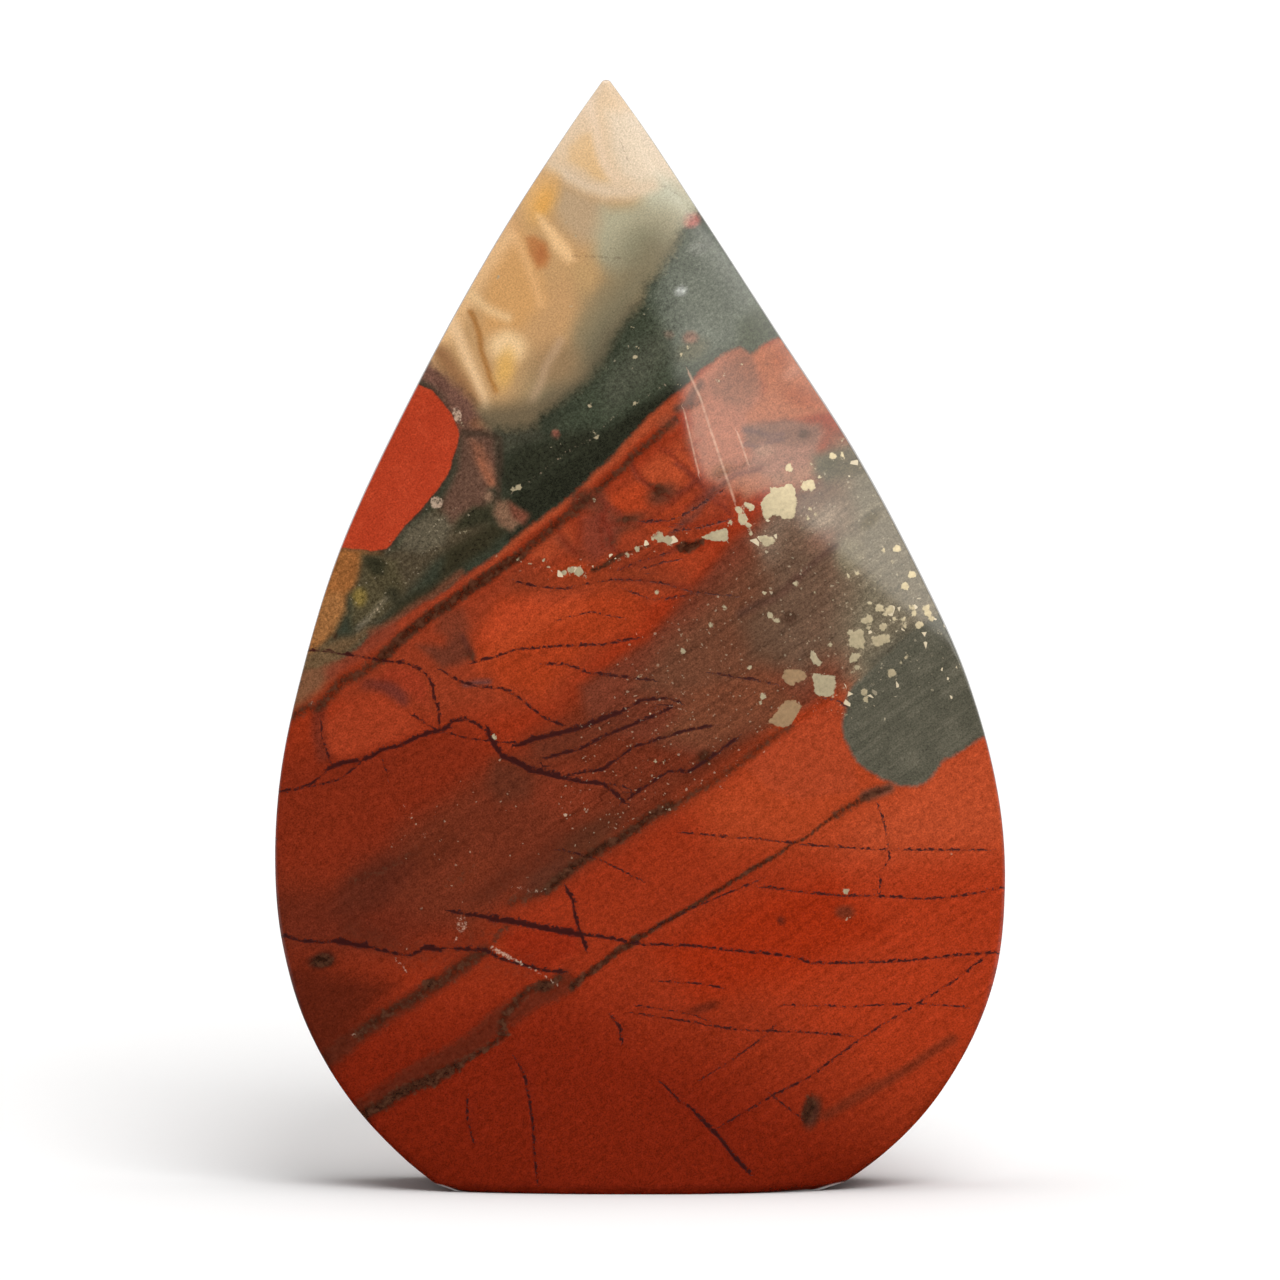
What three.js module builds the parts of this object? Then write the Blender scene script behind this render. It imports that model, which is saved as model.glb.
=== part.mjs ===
// African bloodstone freeform: a polished slab in the shape of a teardrop, standing on a flat base.
// Millimetres, +Z up. The polished front faces -Y and the origin is the middle of the base.
import * as THREE from "three";

// Driving dimensions
const HEIGHT = 119.5;
const TIP_RADIUS = 0.7;
const BASE_BEVEL = 0.9;

// The outline seen from the front: pairs of height above the base and distance from the middle.
// The left side is one smooth sweep, and the right side was ground in short, nearly straight runs.
// Both end in the sharp corner that the round tip is cut from.
const CORNER = [119.95, -3.65];
const LEFT_EDGE = [
  [0, -20.8], [1.4, -22.8], [4, -25.9], [9.7, -31.1], [18, -35.95], [27, -38.6], [35, -39.35],
  [45, -38.75], [56, -36.4], [68.6, -32.5], [81.7, -26.55], [101.3, -15.95], [114.4, -7.55], CORNER,
];
const RIGHT_EDGE = [
  [0, 20.4], [1.4, 22.9], [6.6, 29.15], [14.1, 34.65], [22.8, 38.25], [32.6, 39.4], [42.4, 38.7],
  [55.5, 35.15], [66.4, 30.2], [79.5, 23.15], [92.6, 14.6], [105.7, 6.1], [114.4, 0.35], CORNER,
];

// Half of the thickness along the middle of the stone, as pairs of height and depth
const HALF_DEPTH = [
  [0, 14], [14, 15.3], [36, 16], [60, 15], [80, 12.4], [100, 8.2], [112, 4.8], [119.95, 1.7],
];

// The rim: its share of the half thickness on each side and how far it bulges, as a share of the
// half width. The bevel between rim and face is widest at the base.
const RIM_SHARE_LEFT = 0.68;
const RIM_SHARE_RIGHT = 0.54;
const RIM_BULGE = 0.003;
const BEVEL_AT_TIP = 0.08;
const BEVEL_AT_BASE = 1.4;
const BEVEL_FADE_HEIGHT = 20;
const BEVEL_SLOPE = 0.8;

// The crown of each face: a higher power is flatter in the middle and falls faster at the rim
const CROWN_POWER = 2.6;

// Facets across a face, across half of the rim, and between the base and the tip
const FACE_STEPS = 20;
const RIM_STEPS = 4;
const LEVELS = 52;

// Levels over the round tip, as shares of its radius above its centre
const TIP_LEVELS = [0.6, 0.88];

function curveOf(pairs) {
  const heights = pairs.map((pair) => pair[0]);
  const values = pairs.map((pair) => pair[1]);
  const curve = new THREE.CubicInterpolant(heights, values, 1);
  return (height) => curve.evaluate(height)[0];
}

const leftEdge = curveOf(LEFT_EDGE);
const rightEdge = curveOf(RIGHT_EDGE);
const halfDepth = curveOf(HALF_DEPTH);

// The round tip: a circle that touches both edges, as half its width at a height
const TIP_CENTRE = HEIGHT - TIP_RADIUS;

function tipHalfWidth(height) {
  const rise = height - TIP_CENTRE;
  return Math.sqrt(Math.max(TIP_RADIUS ** 2 - rise ** 2, 0));
}

function edgesAt(height) {
  const left = leftEdge(height);
  const right = rightEdge(height);
  const middle = (left + right) / 2;
  const half = (right - left) / 2;
  const rounded = height > TIP_CENTRE ? Math.min(half, tipHalfWidth(height)) : half;
  return { middle, half: rounded, shrink: rounded / half };
}

// One level of the stone: a ring of points that starts at the left rim and runs along the front
function levelRing(height) {
  const { middle, half, shrink } = edgesAt(height);
  const baseCut = Math.max(BASE_BEVEL - height, 0);
  const depth = halfDepth(height) * shrink - baseCut;
  const halfWidth = half - baseCut;
  const bulge = halfWidth * RIM_BULGE;
  const fade = Math.exp(-height / BEVEL_FADE_HEIGHT);
  const bevel = Math.min(BEVEL_AT_TIP + (BEVEL_AT_BASE - BEVEL_AT_TIP) * fade, halfWidth / 3);
  const faceHalf = halfWidth - bulge - bevel;

  // Depth of the face at a share of its width, from -1 at the left to 1 at the right
  const rimDepth = (share) => {
    const side = THREE.MathUtils.lerp(RIM_SHARE_LEFT, RIM_SHARE_RIGHT, (share + 1) / 2);
    return depth * side;
  };
  const faceDepth = (share) => {
    const edge = rimDepth(share) + bevel * BEVEL_SLOPE;
    const crown = 1 - Math.abs(share) ** CROWN_POWER;
    return edge + Math.max(depth - edge, 0) * crown;
  };

  const halfRing = [];
  for (let step = 0; step < RIM_STEPS; step += 1) {
    const share = step / RIM_STEPS;
    halfRing.push([-halfWidth + bulge * share ** 2, rimDepth(-1) * share]);
  }
  halfRing.push([-halfWidth + bulge, rimDepth(-1)]);
  for (let step = 0; step <= FACE_STEPS; step += 1) {
    const share = -Math.cos((Math.PI * step) / FACE_STEPS);
    halfRing.push([faceHalf * share, faceDepth(share)]);
  }
  halfRing.push([halfWidth - bulge, rimDepth(1)]);
  for (let step = RIM_STEPS - 1; step > 0; step -= 1) {
    const share = step / RIM_STEPS;
    halfRing.push([halfWidth - bulge * share ** 2, rimDepth(1) * share]);
  }

  const front = halfRing.map(([across, deep]) => [middle + across, -deep, height]);
  const back = halfRing
    .map(([across, deep]) => [middle + across, deep, height])
    .slice(1)
    .reverse();
  return [...front, [middle + halfWidth, 0, height], ...back];
}

// Heights of the levels: close together at the base bevel and at the tip, wider over the belly
function levelHeights() {
  const heights = [0, BASE_BEVEL / 2, BASE_BEVEL];
  const tipHeights = TIP_LEVELS.map((share) => TIP_CENTRE + TIP_RADIUS * share);
  const top = tipHeights[0];
  for (let step = 1; step <= LEVELS; step += 1) {
    const even = step / LEVELS;
    const eased = (1 - Math.cos(Math.PI * even)) / 2;
    heights.push(BASE_BEVEL + (top - BASE_BEVEL) * (even + eased) / 2);
  }
  return [...heights, ...tipHeights.slice(1)];
}

// The skin: quads between levels, a flat fan over the base and a small fan at the tip
function stoneGeometry() {
  const rings = levelHeights().map(levelRing);
  const around = rings[0].length;
  const points = rings.flat(2);
  const faces = [];
  const at = (ring, step) => ring * around + (step % around);
  for (let ring = 0; ring + 1 < rings.length; ring += 1) {
    for (let step = 0; step < around; step += 1) {
      faces.push(at(ring, step), at(ring, step + 1), at(ring + 1, step + 1));
      faces.push(at(ring, step), at(ring + 1, step + 1), at(ring + 1, step));
    }
  }
  const baseMiddle = points.length / 3;
  points.push(0, 0, 0);
  const tip = baseMiddle + 1;
  points.push(edgesAt(HEIGHT).middle, 0, HEIGHT);
  for (let step = 0; step < around; step += 1) {
    faces.push(baseMiddle, at(0, step + 1), at(0, step));
    faces.push(tip, at(rings.length - 1, step), at(rings.length - 1, step + 1));
  }
  const geometry = new THREE.BufferGeometry();
  geometry.setAttribute("position", new THREE.Float32BufferAttribute(points, 3));
  geometry.setIndex(faces);
  geometry.computeVertexNormals();
  return geometry;
}

const polishedStone = new THREE.MeshStandardMaterial({
  color: 0x8c3b27,
  roughness: 0.2,
  metalness: 0,
});

const stone = new THREE.Mesh(stoneGeometry(), polishedStone);
stone.name = "stone";

const bloodstoneFreeform = new THREE.Group();
bloodstoneFreeform.add(stone);

export default bloodstoneFreeform;
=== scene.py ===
import math
from collections import namedtuple

import bpy
import numpy as np
from mathutils import Euler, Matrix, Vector
from mathutils.geometry import delaunay_2d_cdt


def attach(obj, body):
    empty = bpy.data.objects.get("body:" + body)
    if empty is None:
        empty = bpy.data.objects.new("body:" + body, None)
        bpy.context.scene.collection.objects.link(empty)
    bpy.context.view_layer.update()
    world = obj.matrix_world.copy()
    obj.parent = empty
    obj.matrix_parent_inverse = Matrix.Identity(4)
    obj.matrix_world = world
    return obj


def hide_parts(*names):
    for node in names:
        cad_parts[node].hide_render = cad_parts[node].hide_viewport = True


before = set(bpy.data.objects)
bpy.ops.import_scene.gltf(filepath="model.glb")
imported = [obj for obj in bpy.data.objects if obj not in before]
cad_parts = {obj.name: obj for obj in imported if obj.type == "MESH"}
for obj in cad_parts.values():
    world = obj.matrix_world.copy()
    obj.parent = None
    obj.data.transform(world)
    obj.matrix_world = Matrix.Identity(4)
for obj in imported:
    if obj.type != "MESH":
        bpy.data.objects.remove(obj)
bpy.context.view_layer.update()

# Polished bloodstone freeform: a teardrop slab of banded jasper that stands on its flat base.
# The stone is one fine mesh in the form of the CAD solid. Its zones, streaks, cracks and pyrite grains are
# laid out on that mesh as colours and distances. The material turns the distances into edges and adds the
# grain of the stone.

bl_info = {
    "name": "Polished Bloodstone Freeform",
    "version": (1, 0, 0),
    "blender": (4, 5, 0),
    "location": "3D View > Sidebar > Stone",
    "description": "Builds a banded, polished bloodstone teardrop and its plain studio stage",
    "category": "Object",
}

MM = 0.001

# Form of the stone in millimetres, the same numbers as the solid has. The outline is given as heights
# and distances from the middle, and the half thickness as heights and depths.
HEIGHT = 119.5
TIP_RADIUS = 0.7
BASE_BEVEL = 0.9
CORNER = (119.95, -3.65)
LEFT_EDGE = (
    (0, -20.8), (1.4, -22.8), (4, -25.9), (9.7, -31.1), (18, -35.95), (27, -38.6), (35, -39.35),
    (45, -38.75), (56, -36.4), (68.6, -32.5), (81.7, -26.55), (101.3, -15.95), (114.4, -7.55), CORNER,
)
RIGHT_EDGE = (
    (0, 20.4), (1.4, 22.9), (6.6, 29.15), (14.1, 34.65), (22.8, 38.25), (32.6, 39.4), (42.4, 38.7),
    (55.5, 35.15), (66.4, 30.2), (79.5, 23.15), (92.6, 14.6), (105.7, 6.1), (114.4, 0.35), CORNER,
)
HALF_DEPTH = (
    (0, 14), (14, 15.3), (36, 16), (60, 15), (80, 12.4), (100, 8.2), (112, 4.8), (119.95, 1.7),
)
RIM_SHARE_LEFT = 0.68
RIM_SHARE_RIGHT = 0.54
RIM_BULGE = 0.003
BEVEL_AT_TIP = 0.08
BEVEL_AT_BASE = 1.4
BEVEL_FADE_HEIGHT = 20
BEVEL_SLOPE = 0.8
CROWN_POWER = 2.6
TIP_CENTRE = HEIGHT - TIP_RADIUS
# Where the round tip touches the edges, as a share of its radius above its centre
TIP_TOUCH = 0.58

# Fineness of the mesh in millimetres: steps along the outline, over the back and over the base. Near the
# tip the steps of the outline shrink to a share, and inner points keep a share of their pitch off the edge.
# The pitch of the front is a setting of the stone.
OUTLINE_STEP = 0.4
OUTLINE_TIP_SHARE = 0.3
OUTLINE_TIP_ZONE = 5
OUTLINE_SAMPLES = 4000
TIP_SAMPLES = 400
BACK_PITCH = 0.72
BASE_PITCH = 1.1
EDGE_GAP = 0.55
RIM_STEPS = 16

# The hand polish leaves low waves that fade out towards the edges of the faces
POLISH_WAVE = 0.02
POLISH_WAVE_LENGTH = 11
POLISH_WAVE_FADE = (0.2, 4)

# The flat layout of the skin in millimetres: a square with the front upright and the back turned round
LAYOUT_SIZE = 156
FRONT_ISLAND = (45.5, 5.2)
BASE_ISLAND = (24, 141)
RIM_FLAT_SHARE = 0.5

# The camera looks along the middle of the stone. Focal length and centre are in pixels of the image.
CAMERA_DISTANCE = 2000
CAMERA_ELEVATION = 3
CAMERA_TARGET = (0, 0, 59)
IMAGE_SIZE = 1280
FOCAL_PIXELS = 18510
SENSOR_WIDTH = 36

# How the beds run into the stone: shift to the side and upwards for each millimetre behind the face,
# slope in degrees seen from the front, and how far they wander, over what length and from what depth
BED_DRIFT = (-0.35, 0.25)
BED_SLOPE = 34
BED_WANDER = 5
BED_WANDER_LENGTH = 16
BED_WANDER_DEPTH = 14

# Cells of the seeded noise along each side before it repeats
LATTICE_CELLS = 32

PIXELS_PER_MM = 9.26

# Outlines of the marks are made ragged by two waves: how far they reach and how long they are, in pixels
WIDE_RAGGED = (1.2, 26)
FINE_RAGGED = (0.9, 9)

# Marks smaller than this, in pixels, fade out behind the face, and crystals and grains taper away
SMALL_MARK = 13
SMALL_MARK_TAPER = 2.5
CRYSTAL_TAPER = 0.12

# How far off crystals and cracks are still measured, and how near two cracks of a layer may come, in pixels
CRYSTAL_REACH = 24
CRACK_REACH = 16
CRACK_CLEARANCE = 9
CRACK_DOTS = 8

# Seeds of the waves in the beds, in the outlines of the marks and in the polish, and where in the seeded
# noise two of them begin, in millimetres
BED_SEEDS = (3, 4)
WIDE_SEEDS = (5, 6)
FINE_SEEDS = (15, 16)
POLISH_SEED = 8
BED_WAVE_START = 100
POLISH_WAVE_START = 50

# Places of the markings, read in pixels of the image. Colours are 0 to 255 as seen on screen.
# A patch is filled, a streak is a line of a width, a spot is an ellipse. Blur is its soft edge.
Patch = namedtuple("Patch", "colour blur points strength", defaults=(1.0,))
Streak = namedtuple("Streak", "colour width blur points strength", defaults=(1.0,))
Spot = namedtuple("Spot", "colour centre radii turn blur strength", defaults=(1.0,))
Crack = namedtuple("Crack", "width points")

# The zones: green above the red boundary, pale chalcedony at the tip, a red pebble and a grey blob
GREEN_ZONE = (
    (900, 200), (850, 300), (778, 337), (771, 340), (761, 346), (756, 351), (751, 355), (745, 351),
    (740, 347), (731, 350), (722, 355), (710, 363), (700, 371), (680, 390), (655, 411), (629, 439),
    (603, 466), (572, 494), (539, 520), (506, 545), (483, 563), (450, 587), (415, 608), (380, 628),
    (354, 651), (335, 662), (300, 672), (220, 720), (100, 790), (20, 790), (20, -120), (900, -120),
)
CHALCEDONY_ZONE = (
    (800, 150), (760, 190), (700, 207), (688, 216), (678, 232), (672, 250), (658, 272), (646, 284),
    (640, 303), (625, 318), (612, 340), (604, 361), (589, 379), (565, 398), (540, 413), (533, 425),
    (508, 428), (486, 427), (481, 416), (471, 399), (449, 378), (433, 363), (415, 345), (380, 330),
    (300, 310), (160, 330), (60, 300), (60, -120), (900, -120),
)
PEBBLE_ZONE = (
    (423, 387), (433, 391), (443, 401), (452, 413), (457, 424), (459, 434), (457, 447), (452, 460),
    (446, 475), (438, 488), (428, 501), (418, 513), (405, 526), (395, 539), (385, 548), (372, 552),
    (359, 550), (344, 548), (300, 560), (270, 520), (290, 440), (340, 380), (400, 372),
)
BLOB_ZONE = (
    (849, 690), (846, 705), (843, 720), (844, 737), (848, 750), (857, 762), (868, 772), (880, 779),
    (900, 786), (915, 787), (927, 783), (936, 772), (943, 762), (958, 752), (975, 742), (1000, 728),
    (1060, 690), (1040, 600), (960, 600), (900, 640),
)

CHALCEDONY_BASE = (178, 140, 96)
CHALCEDONY_MARKS = (
    Patch((204, 176, 142), 26, ((606, 40), (505, 150), (556, 164), (585, 182), (605, 193), (640, 196),
        (690, 205), (720, 190), (700, 120))),
    Patch((206, 186, 160), 20, ((606, 112), (610, 150), (620, 178), (640, 188), (690, 190), (660, 110))),
    Patch((172, 168, 144), 26, ((644, 184), (660, 176), (700, 194), (720, 240), (650, 236), (640, 208))),
    Patch((204, 169, 124), 10, ((568, 148), (580, 136), (591, 132), (597, 150), (605, 170), (608, 181),
        (598, 181), (585, 170), (568, 160))),
    Streak((211, 185, 156), 9, 12, ((590, 104), (596, 130), (601, 152), (609, 170), (617, 180))),
    Patch((172, 146, 114), 22, ((560, 184), (578, 190), (605, 202), (618, 218), (604, 240), (582, 244),
        (562, 228), (552, 206))),
    Patch((162, 155, 128), 26, ((602, 208), (640, 203), (692, 208), (676, 244), (650, 266), (618, 278),
        (596, 264), (594, 236))),
    Spot((142, 141, 117), (648, 250), (24, 20), 0, 26),
    Streak((201, 178, 150), 14, 16, ((552, 167), (573, 177), (588, 186), (607, 191), (629, 191), (652, 185))),
    Streak((118, 108, 84), 60, 64, ((660, 256), (622, 300), (600, 332), (584, 362), (556, 400))),
    Streak((80, 74, 58), 26, 40, ((636, 322), (620, 340), (600, 370), (572, 402), (530, 428))),
    Spot((174, 140, 96), (586, 276), (14, 18), 10, 20),
    Patch((180, 140, 96), 24, ((544, 284), (570, 280), (576, 308), (566, 344), (540, 362), (524, 330))),
    Patch((192, 145, 92), 22, ((514, 214), (535, 250), (545, 300), (520, 332), (480, 334), (488, 260))),
    Spot((200, 152, 88), (540, 198), (16, 26), 20, 20),
    Spot((206, 150, 72), (543, 202), (8, 12), 20, 12, 0.8),
    Patch((216, 176, 128), 11, ((537, 214), (544, 218), (556, 230), (569, 245), (576, 258), (568, 262),
        (558, 254), (550, 244), (542, 230))),
    Patch((172, 114, 68), 9, ((525, 237), (534, 236), (545, 244), (551, 256), (547, 266), (538, 268),
        (530, 256))),
    Spot((164, 100, 58), (541, 254), (5, 8), 10, 8, 0.7),
    Streak((206, 160, 110), 8, 11, ((508, 224), (519, 246), (527, 264), (534, 282), (541, 303)), 0.85),
    Streak((210, 168, 120), 14, 20, ((506, 238), (486, 268), (466, 300), (446, 334), (430, 358))),
    Streak((212, 176, 130), 9, 12, ((464, 286), (477, 300), (490, 311), (508, 318)), 0.9),
    Streak((216, 180, 138), 11, 11, ((452, 322), (461, 344), (469, 362), (477, 382), (485, 406)), 0.9),
    Streak((142, 102, 68), 16, 14, ((440, 352), (452, 370), (463, 388), (472, 404))),
    Streak((146, 94, 44), 4, 6, ((470, 311), (475, 322), (479, 335), (481, 348), (486, 365), (496, 390)),
        0.9),
    Patch((92, 61, 49), 14, ((400, 350), (426, 366), (444, 380), (462, 402), (478, 420), (470, 440),
        (440, 420), (400, 380))),
    Spot((220, 186, 140), (508, 347), (18, 15), 10, 18),
    Spot((140, 112, 80), (558, 364), (24, 22), 0, 32, 0.8),
    Spot((202, 158, 90), (505, 368), (9, 18), 10, 14),
    Streak((176, 146, 116), 7, 10, ((560, 340), (549, 361), (538, 386), (531, 400)), 0.7),
    Patch((104, 90, 68), 26, ((470, 408), (500, 404), (534, 402), (560, 388), (570, 440), (480, 440))),
)

GREEN_BASE = (50, 53, 41)
GREEN_MARKS = (
    Patch((58, 63, 49), 40, ((620, 340), (690, 200), (820, 180), (800, 340), (740, 350), (670, 390),
        (600, 440), (560, 430), (570, 400))),
    Patch((90, 94, 82), 30, ((650, 296), (664, 262), (690, 232), (720, 215), (800, 330), (770, 338),
        (745, 348), (700, 356), (676, 376), (664, 340))),
    Patch((70, 72, 59), 30, ((600, 385), (628, 350), (660, 330), (672, 350), (650, 385), (610, 412))),
    Patch((72, 76, 60), 18, ((740, 322), (764, 300), (790, 330), (752, 352), (738, 345))),
    Spot((86, 84, 66), (692, 350), (16, 10), -30, 12),
    Patch((37, 38, 28), 12, ((684, 380), (645, 404), (604, 432), (561, 464), (520, 490), (500, 508),
        (510, 545), (572, 494), (629, 439), (690, 386))),
    Patch((42, 43, 32), 16, ((515, 448), (590, 430), (600, 440), (540, 478), (505, 498), (500, 470))),
    Patch((60, 59, 47), 14, ((478, 428), (530, 426), (545, 436), (510, 452), (490, 450))),
    Patch((74, 64, 48), 16, ((400, 545), (440, 500), (480, 490), (500, 500), (486, 540), (440, 556),
        (400, 600), (360, 640), (356, 590), (372, 556))),
    Patch((140, 88, 46), 12, ((380, 552), (364, 556), (358, 580), (345, 600), (332, 632), (280, 700),
        (180, 740), (180, 600), (300, 540))),
    Patch((146, 98, 56), 12, ((340, 592), (346, 612), (332, 634), (300, 650), (300, 600))),
    Patch((98, 76, 52), 12, ((334, 640), (350, 636), (376, 628), (340, 662), (300, 690), (260, 700),
        (290, 660))),
    Patch((74, 66, 46), 12, ((362, 556), (396, 560), (404, 590), (380, 616), (352, 630), (350, 604),
        (362, 584))),
    Patch((48, 44, 30), 12, ((448, 548), (494, 522), (506, 532), (470, 560), (424, 600), (384, 626),
        (396, 604), (440, 580))),
    Spot((46, 44, 30), (376, 566), (11, 9), 40, 7),
    Spot((44, 42, 30), (392, 596), (8, 8), 0, 8, 0.8),
    Spot((124, 104, 52), (360, 597), (7, 9), 0, 7, 0.9),
    Streak((108, 98, 78), 5, 6, ((368, 620), (376, 610), (386, 600)), 0.9),
    Streak((104, 96, 80), 5, 6, ((358, 630), (366, 622)), 0.8),
    Patch((88, 80, 64), 12, ((404, 532), (424, 516), (450, 512), (452, 526), (444, 544), (424, 552),
        (400, 548))),
    Patch((92, 66, 53), 12, ((440, 392), (466, 402), (490, 425), (498, 462), (484, 505), (452, 522),
        (440, 505), (456, 470), (460, 440))),
    Patch((104, 72, 60), 12, ((380, 340), (436, 356), (462, 384), (484, 412), (478, 428), (460, 420),
        (444, 396), (424, 382), (380, 366))),
    Patch((124, 80, 60), 10, ((470, 440), (482, 446), (494, 470), (498, 490), (486, 482), (474, 462))),
    Streak((140, 86, 62), 5, 6, ((480, 462), (486, 474), (491, 484))),
    Spot((112, 76, 56), (478, 424), (8, 6), 0, 6),
    Spot((126, 96, 76), (488, 497), (4, 5), 0, 4),
    Streak((58, 46, 36), 6, 6, ((464, 434), (482, 434), (500, 440), (500, 470), (496, 500)), 0.8),
    Patch((50, 48, 34), 9, ((474, 506), (492, 508), (494, 522), (470, 528), (454, 532), (462, 518))),
    Patch((116, 86, 66), 7, ((497, 501), (508, 502), (520, 524), (512, 532), (500, 526), (494, 512))),
    Patch((110, 64, 48), 7, ((508, 502), (530, 516), (524, 526), (514, 520))),
    Streak((112, 62, 42), 7, 7, ((462, 574), (430, 596), (400, 616), (372, 634)), 0.8),
    Spot((50, 34, 22), (335, 637), (2.5, 3), 0, 2),
    Spot((158, 84, 72), (691, 219), (9, 8), 0, 6),
    Spot((150, 152, 146), (681, 291), (6, 5), 0, 4, 0.9),
    Spot((104, 106, 96), (697, 249), (9, 7), 0, 7, 0.9),
    Spot((84, 88, 76), (686, 262), (12, 9), 0, 7, 0.8),
    Spot((124, 88, 72), (690, 337), (7, 6), 0, 5, 0.9),
    Spot((104, 88, 74), (669, 334), (5, 4), 0, 4, 0.8),
    Spot((128, 76, 62), (556, 433), (4, 4), 0, 3, 0.9),
    Spot((150, 74, 52), (455, 428), (4, 8), 0, 4, 0.7),
)

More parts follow.
